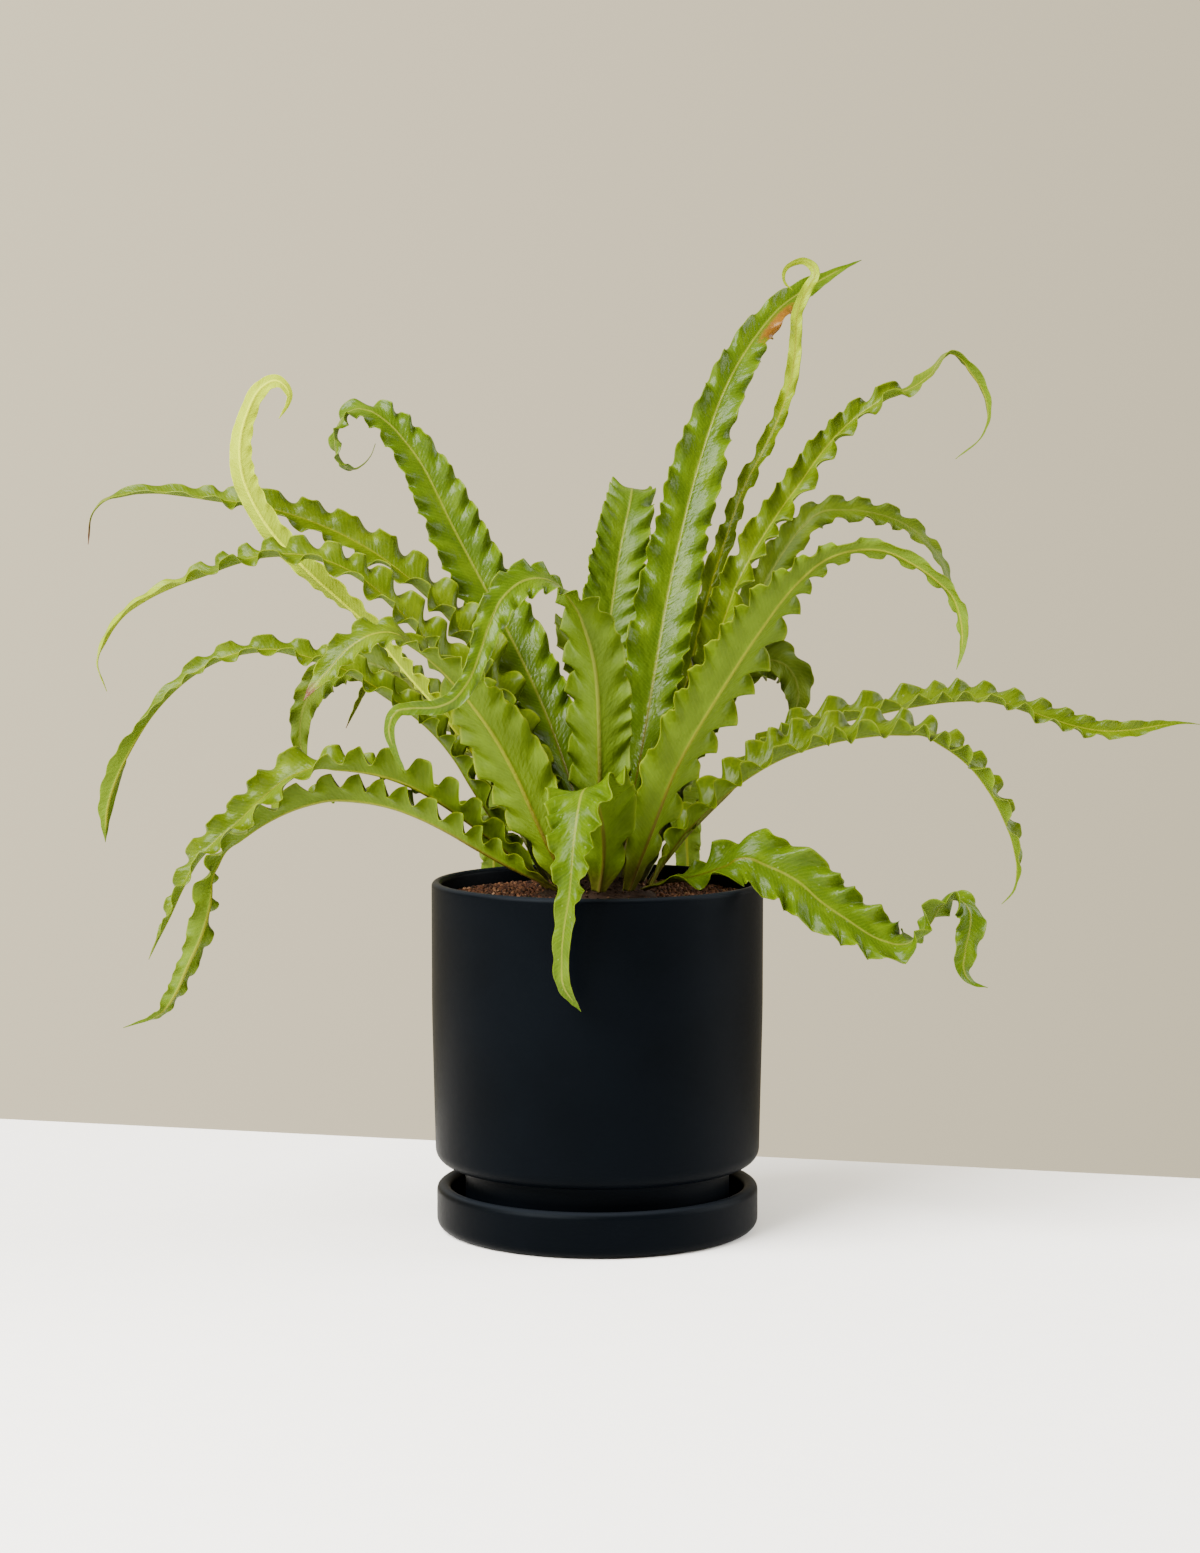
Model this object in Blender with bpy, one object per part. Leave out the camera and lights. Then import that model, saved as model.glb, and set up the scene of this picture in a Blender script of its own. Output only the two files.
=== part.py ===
"""A crinkle-fronded bird's-nest fern in a round ceramic pot on a saucer.

The saucer stands on the table, the pot's foot stands in the saucer, the growing mix fills the pot,
the fern's crown sits in a socket in the mix, and every frond springs from a ring on the crown.
Origin: centre of the saucer's underside. +Z is up, and -Y is the side that the plant is shown from.
"""

import math

import bpy
from mathutils import Quaternion, Vector

MM = 0.001

# Pieces that touch keep this gap.
CONTACT_GAP = 0.3 * MM

# Saucer
SAUCER_RADIUS = 73 * MM
SAUCER_HEIGHT = 20.5 * MM
SAUCER_WALL = 6.5 * MM
SAUCER_FLOOR = 6 * MM
SAUCER_LOWER_ROUND = 5 * MM
SAUCER_INNER_ROUND = 3 * MM

# Pot
POT_RADIUS = 75 * MM
POT_BODY_HEIGHT = 128 * MM
POT_TAPER = 1.4 * MM
POT_TAPER_START = 70 * MM
POT_WALL = 4.5 * MM
POT_LOWER_ROUND = 7 * MM
POT_INNER_ROUND = 4 * MM
FOOT_RADIUS = 60 * MM
FOOT_HEIGHT = 23.7 * MM
FOOT_EDGE = 1.2 * MM
FOOT_RING = 8 * MM
FOOT_RECESS = 2.5 * MM
POT_FLOOR = 6 * MM
DRAIN_RADIUS = 6 * MM

# Growing mix and crown
SOIL_DROP = 6.5 * MM
SOIL_EDGE_FALL = 1.5 * MM
CROWN_RADIUS = 28 * MM
CROWN_RISE = 9 * MM
CROWN_SINK = 7 * MM
CROWN_WAIST = 3 * MM

# Fronds
RING_RADIUS = {"inner": 8.5 * MM, "middle": 17 * MM, "outer": 24 * MM}
FROND_STANDOFF = 1.6 * MM
STALK_WIDTH = 6 * MM
TIP_WIDTH = 0.9 * MM
MIDRIB_THICKNESS = 1.9 * MM
TIP_THICKNESS = 0.9 * MM
FOLD_RISE = 0.32
STATION_STEP = 13 * MM
STATION_TURN = math.radians(24)
# The frond points below were taken over a rim of this radius; a wider pot carries them outwards.
PLANT_RIM_RADIUS = 75 * MM

# Share of the frond's length, and share of its widest width there.
BLADE_OUTLINE = (
    (0.0, 0.0), (0.07, 0.4), (0.2, 0.88), (0.35, 1.0), (0.55, 0.85), (0.72, 0.58), (0.88, 0.36),
    (1.0, 0.0))
# A blade whose fold hides its tail stays broad for longer.
BROAD_OUTLINE = (
    (0.0, 0.0), (0.08, 0.45), (0.25, 0.95), (0.5, 1.0), (0.75, 0.85), (0.9, 0.5), (1.0, 0.0))
# A broad blade that ends in a long, narrow tail.
TAILED_OUTLINE = (
    (0.0, 0.0), (0.08, 0.45), (0.2, 0.85), (0.34, 1.0), (0.48, 0.98), (0.56, 0.8), (0.62, 0.44), (0.68, 0.26),
    (0.92, 0.19), (1.0, 0.0))
# The same with its narrow part nearer the middle.
SHORT_BROAD_OUTLINE = (
    (0.0, 0.0), (0.1, 0.5), (0.24, 0.95), (0.38, 1.0), (0.5, 0.72), (0.61, 0.42), (0.71, 0.27), (0.92, 0.21),
    (1.0, 0.0))
# A broad blade that folds over into a narrower end with a thin tail.
FOLDED_OUTLINE = (
    (0.0, 0.0), (0.06, 0.45), (0.15, 0.9), (0.25, 1.0), (0.4, 0.95), (0.48, 0.8), (0.56, 0.6), (0.66, 0.46),
    (0.74, 0.24), (0.92, 0.15), (1.0, 0.0))
# A broad blade that narrows evenly to a bent-over end.
BLUNT_OUTLINE = (
    (0.0, 0.0), (0.08, 0.45), (0.25, 0.92), (0.45, 1.0), (0.6, 0.94), (0.7, 0.76), (0.8, 0.62),
    (0.9, 0.42), (1.0, 0.0))
# An arching blade that stays fairly broad beyond its arch.
ARCH_OUTLINE = (
    (0.0, 0.0), (0.07, 0.4), (0.2, 0.88), (0.35, 1.0), (0.52, 0.85), (0.66, 0.6), (0.8, 0.52),
    (0.92, 0.34), (1.0, 0.0))
# A broad blade whose outer half narrows to a long strap.
STRAP_OUTLINE = (
    (0.0, 0.0), (0.07, 0.45), (0.2, 0.9), (0.33, 1.0), (0.45, 0.82), (0.56, 0.62), (0.75, 0.46), (0.9, 0.32),
    (1.0, 0.0))
# A narrow blade that is broadest again just before its end.
PADDLE_OUTLINE = (
    (0.0, 0.0), (0.07, 0.5), (0.2, 1.0), (0.42, 0.92), (0.58, 0.62), (0.7, 0.52), (0.8, 0.66), (0.88, 0.78),
    (0.95, 0.5), (1.0, 0.0))
# A blade that is narrow at first and broadest near its end.
HOOK_OUTLINE = ((0.0, 0.0), (0.1, 0.4), (0.35, 0.55), (0.6, 0.85), (0.75, 1.0), (0.9, 0.75), (1.0, 0.0))
# A blade that keeps its width up to a curled end.
CURL_OUTLINE = (
    (0.0, 0.0), (0.08, 0.45), (0.22, 0.92), (0.42, 1.0), (0.6, 0.88), (0.72, 0.62), (0.88, 0.4),
    (1.0, 0.0))

ROUND_SEGMENTS = 56
CORNER_STEPS = 3

# Heights that follow from the sizes above.
FOOT_BOTTOM = SAUCER_FLOOR + CONTACT_GAP
BODY_BOTTOM = FOOT_BOTTOM + FOOT_HEIGHT
RIM_TOP = BODY_BOTTOM + POT_BODY_HEIGHT
SOIL_TOP = RIM_TOP - SOIL_DROP
INNER_RADIUS = POT_RADIUS - POT_WALL
FOOT_INNER_RADIUS = FOOT_RADIUS - POT_WALL
FLOOR_TOP = FOOT_BOTTOM + POT_FLOOR
SHELF_TOP = BODY_BOTTOM + POT_WALL

# Each frond: name, ring on the crown, bearing of its foot in degrees (0 is +X, 90 is +Y), widest width
# in millimetres, outline, and the points that its midrib runs through after the foot. A point is x, y,
# height above the rim, all in millimetres, and the blade's roll about its midrib in degrees.
FRONDS = (
    ("frond_far_left_upper", "middle", 152, 22, STRAP_OUTLINE, (
        (-27, 12, 44, 0), (-44, 21, 84, 0), (-63, 31, 115, 0), (-89, 38, 139, -20),
        (-117, 42, 156, -30), (-146, 45, 167, -30), (-178, 47, 173, -20), (-210, 50, 176, -10),
        (-232, 52, 169, 0), (-237, 54, 151, 0))),
    ("frond_far_left_lower", "middle", 176, 20, STRAP_OUTLINE, (
        (-23, -1, 34, 0), (-41, -2, 68, 0), (-63, -3, 96, 0), (-86, -4, 121, -20), (-106, -5, 138, -30),
        (-128, -6, 147, -30), (-152, -6, 147, -20), (-176, -8, 139, -10), (-198, -10, 130, 0),
        (-214, -11, 118, 0), (-223, -12, 100, 0), (-219, -12, 86, 0))),
    ("frond_pale_new", "middle", 203, 13, BROAD_OUTLINE, (
        (-30, -10, 28, 0), (-43, -8, 44, 0), (-57, -2, 61, 0), (-71, 5, 78, 0), (-85, 11, 93, 0),
        (-105, 15, 117, 10), (-127, 16, 136, 30), (-148, 16, 158, 50), (-160, 16, 181, 60),
        (-161, 16, 200, 60), (-154, 16, 219, 60), (-145, 16, 225, 50), (-139, 16, 218, 40),
        (-144, 16, 208, 40))),
    ("frond_left_arch", "outer", 187, 14, PADDLE_OUTLINE, (
        (-38, -6, 18, 0), (-51, -8, 38, 0), (-63, -10, 58, 0), (-76, -12, 73, 0), (-91, -15, 84, -15),
        (-108, -18, 95, -30), (-126, -21, 102, -30), (-147, -23, 106, -30), (-169, -25, 101, -30),
        (-187, -26, 89, -20), (-201, -27, 73, 0), (-211, -28, 55, 30), (-217, -28, 37, 50),
        (-218, -28, 20, 50))),
    ("frond_low_left_front", "outer", 205, 19, BLADE_OUTLINE, (
        (-35, -13, 12, 0), (-52, -16, 27, 0), (-71, -20, 41, 0), (-91, -24, 51, 0),
        (-111, -28, 55, -20), (-128, -31, 54, -40), (-143, -33, 46, -50), (-155, -34, 34, -50),
        (-167, -35, 24, -50), (-178, -36, 12, -40), (-185, -36, -1, -30), (-191, -37, -15, -20),
        (-198, -38, -31, -20))),
    ("frond_low_left_back", "outer", 222, 18, BLADE_OUTLINE, (
        (-32, -21, 6, 0), (-53, -22, 19, 0), (-74, -21, 31, 0), (-97, -19, 39, 0), (-122, -16, 40, -10),
        (-143, -14, 33, -20), (-159, -13, 23, -30), (-170, -12, 12, -30), (-175, -12, -2, -10),
        (-176, -12, -17, 20), (-182, -12, -32, 40), (-189, -13, -48, 30), (-197, -14, -59, 10),
        (-213, -15, -65, 0))),
    ("frond_front_left_arch", "outer", 240, 30, ARCH_OUTLINE, (
        (-20, -27, 16, 10), (-28, -31, 34, 18), (-36, -35, 52, 22), (-45, -40, 69, 20),
        (-54, -45, 83, 8), (-65, -50, 97, -18), (-78, -54, 108, -45), (-91, -58, 114, -68),
        (-104, -62, 110, -78), (-113, -65, 101, -82), (-121, -68, 92, -82), (-126, -70, 85, -82))),
    ("frond_left_curl", "inner", 150, 25, CURL_OUTLINE, (
        (-10, 22, 34, -20), (-19, 34, 62, -40), (-31, 42, 90, -50), (-44, 49, 116, -50),
        (-57, 54, 140, -50), (-69, 57, 163, -50), (-81, 60, 187, -50), (-93, 62, 203, -40),
        (-104, 63, 212, -20), (-115, 63, 213, 0), (-122, 64, 203, 0), (-121, 65, 191, 0),
        (-114, 66, 186, 0), (-107, 67, 191, 0), (-104, 68, 198, 0))),
    ("frond_centre_fold", "middle", 268, 27, FOLDED_OUTLINE, (
        (0, -18, 18, 0), (1, -20, 44, 0), (1, -22, 68, 0), (0, -25, 92, 0), (-3, -29, 110, -15),
        (-9, -35, 126, -45), (-18, -43, 135, -75), (-29, -52, 137, -92), (-39, -60, 131, -92),
        (-45, -66, 121, -95), (-50, -70, 106, -98), (-56, -72, 92, -102), (-64, -73, 84, -108),
        (-75, -72, 82, -105), (-85, -72, 81, -100), (-89, -72, 74, -90), (-87, -72, 64, -90),
        (-82, -72, 54, -90))),
    ("frond_centre_back", "inner", 95, 26, BLUNT_OUTLINE, (
        (2, 14, 30, 0), (3, 19, 64, 0), (4, 25, 95, 0), (7, 30, 125, 0), (11, 36, 152, 0),
        (15, 45, 170, 0), (16, 57, 177, 0), (15, 73, 171, 0), (14, 86, 158, 0), (13, 93, 142, 0))),
    ("frond_tall", "inner", 330, 27, BLADE_OUTLINE, (
        (14, 1, 30, 45), (20, 6, 62, 85), (26, 12, 95, 108), (32, 18, 129, 115), (39, 24, 160, 118),
        (47, 31, 190, 118), (58, 40, 221, 118), (71, 51, 244, 120), (86, 62, 262, 120),
        (101, 70, 272, 120), (113, 75, 279, 115), (124, 78, 284, 110))),
    ("frond_tall_slim", "inner", 30, 12, STRAP_OUTLINE, (
        (20, 16, 30, 20), (32, 26, 58, 30), (41, 33, 88, 40), (49, 39, 120, 40), (58, 43, 150, 40),
        (68, 45, 178, 40), (79, 46, 199, 40), (87, 45, 219, 40), (91, 44, 238, 50), (91, 44, 254, 60),
        (96, 44, 267, 40), (100, 45, 276, 20), (95, 46, 281, 0), (87, 47, 278, 0), (86, 48, 272, 0),
        (90, 49, 268, 0))),
    ("frond_right_kinked", "middle", 5, 17, BLADE_OUTLINE, (
        (28, 3, 26, 0), (38, 9, 54, 20), (47, 16, 84, 30), (55, 18, 111, 40), (63, 19, 135, 40),
        (73, 20, 153, 40), (83, 20, 168, 40), (94, 20, 183, 40), (105, 20, 198, 40), (120, 20, 212, 30),
        (134, 20, 220, 30), (146, 20, 224, 30), (154, 20, 232, 20), (160, 20, 238, 10),
        (169, 22, 231, 0), (176, 24, 220, 0), (178, 24, 210, 0), (174, 24, 199, 0), (163, 24, 190, 0))),
    ("frond_right_broad", "outer", 305, 31, TAILED_OUTLINE, (
        (20, -25, 16, 0), (26, -29, 34, 0), (33, -33, 53, 0), (44, -38, 74, 0), (56, -43, 94, 0),
        (68, -47, 113, 0), (81, -51, 131, 0), (94, -54, 143, 0), (106, -56, 149, 0), (121, -57, 150, 0),
        (133, -58, 146, 0), (143, -59, 139, 0), (151, -59, 133, 0), (156, -60, 123, 0),
        (158, -60, 111, 0), (155, -60, 98, 0))),
    ("frond_right_back", "middle", 38, 22, STRAP_OUTLINE, (
        (24, 26, 28, 0), (42, 40, 62, 5), (58, 52, 92, 15), (73, 60, 123, 25), (88, 64, 149, 30),
        (103, 66, 165, 30), (121, 68, 167, 30), (139, 70, 163, 30), (152, 71, 155, 30),
        (162, 72, 143, 30), (166, 72, 131, 30), (166, 72, 122, 30))),
    ("frond_right_hook", "outer", 36, 18, HOOK_OUTLINE, (
        (28, 32, 18, 15), (38, 45, 42, 30), (50, 54, 68, 40), (62, 61, 87, 45), (75, 66, 96, 55),
        (87, 68, 95, 65), (94, 70, 86, 75), (94, 72, 74, 80), (91, 73, 64, 80))),
    ("frond_right_arch", "outer", 352, 20, BLADE_OUTLINE, (
        (35, -6, 20, 0), (50, -8, 37, 10), (66, -9, 50, 20), (84, -10, 60, 30), (104, -10, 66, 30),
        (124, -10, 69, 30), (142, -10, 69, 30), (155, -10, 64, 30), (167, -10, 55, 30),
        (176, -10, 44, 30), (183, -10, 31, 30), (188, -10, 17, 20), (189, -10, 5, 0), (187, -9, -4, 0),
        (182, -8, -10, 0))),
    ("frond_far_right", "outer", 14, 18, BLADE_OUTLINE, (
        (39, 12, 20, 0), (55, 20, 36, 0), (70, 28, 51, 0), (84, 33, 62, 0), (99, 36, 69, 10),
        (118, 38, 73, 20), (142, 39, 78, 30), (164, 40, 81, 30), (185, 40, 80, 30), (203, 40, 74, 40),
        (220, 40, 68, 50), (238, 40, 65, 60), (257, 40, 67, 60), (269, 40, 69, 30), (279, 40, 68, 0))),
    ("frond_low_right", "outer", 330, 25, BLADE_OUTLINE, (
        (28, -17, 1, 0), (41, -22, 4, 20), (54, -27, 9, 40), (65, -31, 13, 55), (76, -34, 10, 60),
        (88, -36, 4, 60), (100, -38, -6, 60), (114, -40, -15, 60), (128, -42, -23, 50),
        (138, -42, -23, 10), (145, -40, -15, -20), (151, -38, -7, -30), (158, -38, -4, -10),
        (164, -40, -10, 40), (163, -41, -22, 50), (161, -42, -33, 40), (164, -42, -40, 20),
        (172, -42, -43, 0))),
    ("frond_front_hanging", "outer", 272, 30, SHORT_BROAD_OUTLINE, (
        (3, -31, 15, 0), (2, -37, 29, 0), (0, -45, 40, 0), (-3, -55, 46, 0), (-6, -66, 46, 0),
        (-8, -76, 40, 0), (-10, -83, 29, 0), (-11, -87, 16, 0), (-12, -88, 3, 0), (-14, -88, -9, 0),
        (-15, -88, -21, 0), (-15, -87, -33, 0), (-11, -86, -42, 0), (-7, -85, -47, 0))),
    ("frond_back_left_hanging", "outer", 144, 18, BROAD_OUTLINE, (
        (-33, 34, 26, 0), (-56, 54, 54, -10), (-82, 72, 80, -30), (-106, 84, 94, -55),
        (-125, 90, 91, -75), (-138, 94, 79, -90), (-143, 96, 64, -95), (-142, 97, 51, -95),
        (-140, 98, 42, -95))),
    ("frond_back_left_short", "outer", 163, 15, BLADE_OUTLINE, (
        (-38, 18, 28, 0), (-56, 30, 55, 0), (-76, 44, 76, 0), (-92, 54, 90, 0), (-104, 57, 90, 0),
        (-112, 59, 77, 0), (-118, 60, 65, 0))),
    ("frond_back_shaded", "middle", 115, 20, BROAD_OUTLINE, (
        (-3, 29, 30, 0), (-1, 45, 62, 0), (-5, 56, 90, 0), (-10, 62, 108, 0), (-10, 75, 114, 0),
        (-10, 88, 106, 0), (-9, 97, 92, 0), (-9, 102, 76, 0))),
    ("frond_back_centre_right", "middle", 70, 15, BROAD_OUTLINE, (
        (8, 27, 30, 0), (11, 40, 62, 0), (13, 52, 90, 0), (14, 62, 108, 0), (15, 75, 114, 0),
        (15, 88, 106, 0), (14, 97, 90, 0), (12, 102, 74, 0))),
    ("frond_back_low_right", "outer", 62, 22, BLADE_OUTLINE, (
        (15, 45, 17, 0), (26, 69, 32, 0), (36, 95, 36, 0), (41, 120, 28, 0), (44, 144, 6, 0),
        (45, 156, -20, 0), (44, 161, -42, 0))),
    ("frond_back_right", "outer", 80, 23, BLADE_OUTLINE, (
        (7, 46, 24, 0), (11, 76, 42, 0), (15, 110, 47, 0), (19, 144, 38, 0), (22, 170, 14, 0),
        (23, 184, -16, 0), (21, 190, -42, 0))),
    ("frond_back_left", "outer", 102, 23, BLADE_OUTLINE, (
        (-10, 42, 24, 0), (-16, 70, 42, 0), (-21, 102, 47, 0), (-25, 134, 38, 0), (-28, 158, 14, 0),
        (-30, 172, -14, 0), (-29, 178, -38, 0))),
    ("frond_back_low_left", "outer", 124, 22, BLADE_OUTLINE, (
        (-22, 42, 18, 0), (-32, 68, 32, 0), (-42, 94, 35, 0), (-48, 118, 26, 0), (-51, 138, 4, 0),
        (-52, 150, -24, 0), (-51, 155, -46, 0))),
)

# Fronds that aren't the common green.
PALE_FRONDS = ("frond_pale_new",)
DULL_FRONDS = (
    "frond_right_back",
    "frond_right_hook",
    "frond_back_left_hanging",
    "frond_back_left_short",
    "frond_back_shaded",
    "frond_back_centre_right",
)


def clear_scene():
    for obj in list(bpy.data.objects):
        bpy.data.objects.remove(obj)


def material(name, colour, roughness, metallic=0.0):
    made = bpy.data.materials.new(name)
    made.use_nodes = True
    shader = made.node_tree.nodes["Principled BSDF"]
    shader.inputs["Base Color"].default_value = (*colour, 1.0)
    shader.inputs["Roughness"].default_value = roughness
    shader.inputs["Metallic"].default_value = metallic
    return made


def add_mesh(name, points, faces, surface, smooth=True):
    mesh = bpy.data.meshes.new(name)
    mesh.from_pydata([tuple(p) for p in points], [], faces)
    mesh.materials.append(surface)
    if smooth:
        mesh.shade_smooth()
        mesh.set_sharp_from_angle(angle=math.radians(35))
    obj = bpy.data.objects.new(name, mesh)
    bpy.context.scene.collection.objects.link(obj)
    return obj


def arc(centre_r, centre_z, radius, start_deg, end_deg, steps=CORNER_STEPS):
    """Points of a round corner in the (radius, height) plane."""
    found = []
    for i in range(steps + 1):
        angle = math.radians(start_deg + (end_deg - start_deg) * i / steps)
        found.append((centre_r + radius * math.cos(angle), centre_z + radius * math.sin(angle)))
    return found


def turned(name, profile, surface, closed):
    """A turned piece. The profile runs with the material on its left as seen with +Z up and the radius to
    the right, so the outside is walked upwards. A closed profile is a ring; an open one starts and ends
    on the axis."""
    points, rings = [], []
    for radius, height in profile:
        if radius < 1e-9:
            rings.append([len(points)] * ROUND_SEGMENTS)
            points.append((0.0, 0.0, height))
            continue
        first = len(points)
        rings.append([first + i for i in range(ROUND_SEGMENTS)])
        for i in range(ROUND_SEGMENTS):
            angle = 2 * math.pi * i / ROUND_SEGMENTS
            points.append((radius * math.cos(angle), radius * math.sin(angle), height))
    faces = []
    pairs = list(zip(rings, rings[1:] + rings[:1])) if closed else list(zip(rings, rings[1:]))
    for lower, upper in pairs:
        for i in range(ROUND_SEGMENTS):
            j = (i + 1) % ROUND_SEGMENTS
            corners = [lower[i], lower[j], upper[j], upper[i]]
            kept = [c for n, c in enumerate(corners) if c != corners[n - 1]]
            if len(kept) > 2:
                faces.append(kept)
    return add_mesh(name, points, faces, surface)


def saucer_profile():
    lip = SAUCER_WALL / 2
    inner = SAUCER_RADIUS - SAUCER_WALL
    return (
        [(0.0, 0.0)]
        + arc(SAUCER_RADIUS - SAUCER_LOWER_ROUND, SAUCER_LOWER_ROUND, SAUCER_LOWER_ROUND, -90, 0)
        + arc(SAUCER_RADIUS - lip, SAUCER_HEIGHT - lip, lip, 0, 180, 2 * CORNER_STEPS)
        + arc(inner - SAUCER_INNER_ROUND, SAUCER_FLOOR + SAUCER_INNER_ROUND, SAUCER_INNER_ROUND, 0, -90)
        + [(0.0, SAUCER_FLOOR)]
    )


def pot_inside(gap):
    """The pot's inside from its floor to just under the rim, walked upwards and moved in by gap."""
    fillet = POT_INNER_ROUND
    shelf = SHELF_TOP + gap
    wall = INNER_RADIUS - gap
    foot_wall = FOOT_INNER_RADIUS - gap
    return (
        arc(foot_wall - fillet, FLOOR_TOP + gap + fillet, fillet, -90, 0)
        + [(foot_wall, shelf)]
        + arc(wall - fillet, shelf + fillet, fillet, -90, 0)
    )


def pot_profile():
    lip = POT_WALL / 2
    lower = POT_RADIUS - POT_TAPER
    outside = (
        [
            (DRAIN_RADIUS, FOOT_BOTTOM + FOOT_RECESS),
            (FOOT_RADIUS - FOOT_RING, FOOT_BOTTOM + FOOT_RECESS),
            (FOOT_RADIUS - FOOT_RING, FOOT_BOTTOM),
            (FOOT_RADIUS - FOOT_EDGE, FOOT_BOTTOM),
            (FOOT_RADIUS, FOOT_BOTTOM + FOOT_EDGE),
            (FOOT_RADIUS, BODY_BOTTOM),
        ]
        + arc(lower - POT_LOWER_ROUND, BODY_BOTTOM + POT_LOWER_ROUND, POT_LOWER_ROUND, -90, 0)
        + [(POT_RADIUS, BODY_BOTTOM + POT_TAPER_START)]
        + arc(POT_RADIUS - lip, RIM_TOP - lip, lip, 0, 180, 2 * CORNER_STEPS)
    )
    inside = pot_inside(0.0)[::-1] + [(DRAIN_RADIUS, FLOOR_TOP)]
    return outside + inside


def soil_profile():
    socket = CROWN_RADIUS + CONTACT_GAP
    socket_floor = SOIL_TOP - CROWN_SINK
    outer = INNER_RADIUS - CONTACT_GAP
    return (
        [(0.0, FLOOR_TOP + CONTACT_GAP)]
        + pot_inside(CONTACT_GAP)
        + [
            (outer, SOIL_TOP - SOIL_EDGE_FALL),
            (outer - 3 * SOIL_EDGE_FALL, SOIL_TOP),
            (socket, SOIL_TOP),
            (socket, socket_floor),
            (0.0, socket_floor),
        ]
    )


def crown_height(radius):
    """Height of the crown's domed top above the mix at this distance from its axis."""
    return CROWN_RISE * (1 - (radius / CROWN_RADIUS) ** 2)


def crown_profile():
    bottom = SOIL_TOP - CROWN_SINK + CONTACT_GAP
    steps = 5
    dome = []
    for i in range(steps + 1):
        radius = CROWN_RADIUS * (1 - i / steps)
        dome.append((radius, SOIL_TOP + crown_height(radius)))
    return [(0.0, bottom), (CROWN_RADIUS - CROWN_WAIST, bottom)] + dome


def between(keys, share):
    """Smooth reading between (share, value) keys."""
    for (low, first), (high, second) in zip(keys, keys[1:]):
        if share <= high:
            step = (share - low) / (high - low)
            return first + (second - first) * step * step * (3 - 2 * step)
    return keys[-1][1]


def curve_point(points, position):
    """A point on the Catmull-Rom curve through points; position counts spans from the first point."""
    span = min(int(position), len(points) - 2)
    t = position - span
    before = points[span - 1] if span > 0 else points[0] * 2 - points[1]
    a, b = points[span], points[span + 1]
    after = points[span + 2] if span + 2 < len(points) else b * 2 - a
    return 0.5 * (
        a * 2
        + (b - before) * t
        + (before * 2 - a * 5 + b * 4 - after) * t * t
        + (a * 3 - before - b * 3 + after) * t ** 3
    )


def carried_outward(point):
    """Moves a point outwards with the rim: not at all over the crown, fully at the rim and beyond."""
    flat = Vector((point.x, point.y, 0.0))
    if flat.length < 1e-9:
        return point
    reach = (flat.length - CROWN_RADIUS) / (PLANT_RIM_RADIUS - CROWN_RADIUS)
    share = min(max(reach, 0.0), 1.0)
    return point + flat.normalized() * (POT_RADIUS - PLANT_RIM_RADIUS) * share


def midrib_points(ring, bearing, route):
    """The foot on the crown, then the frond's own points, and the roll at each."""
    angle = math.radians(bearing)
    radius = RING_RADIUS[ring]
    foot_height = SOIL_TOP + crown_height(radius) + FROND_STANDOFF
    points = [Vector((radius * math.cos(angle), radius * math.sin(angle), foot_height))]
    rolls = [0.0]
    for x, y, height, roll in route:
        points.append(carried_outward(Vector((x * MM, y * MM, RIM_TOP + height * MM))))
        rolls.append(math.radians(roll))
    return points, rolls


def stations(points, rolls):
    """Places along the midrib, each (point, roll), close enough in distance and in turning."""
    fine = 12
    samples = []
    for i in range(fine * (len(points) - 1) + 1):
        position = i / fine
        span = min(int(position), len(points) - 2)
        roll = rolls[span] + (rolls[span + 1] - rolls[span]) * (position - span)
        samples.append((curve_point(points, position), roll))
    kept = [samples[0]]
    travelled, turned_by = 0.0, 0.0
    for previous, here, following in zip(samples, samples[1:], samples[2:]):
        travelled += (here[0] - previous[0]).length
        turned_by += (here[0] - previous[0]).angle(following[0] - here[0])
        if travelled >= STATION_STEP or turned_by >= STATION_TURN:
            kept.append(here)
            travelled, turned_by = 0.0, 0.0
    if (samples[-1][0] - kept[-1][0]).length < STATION_STEP / 4:
        kept.pop()
    kept.append(samples[-1])
    return kept


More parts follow.
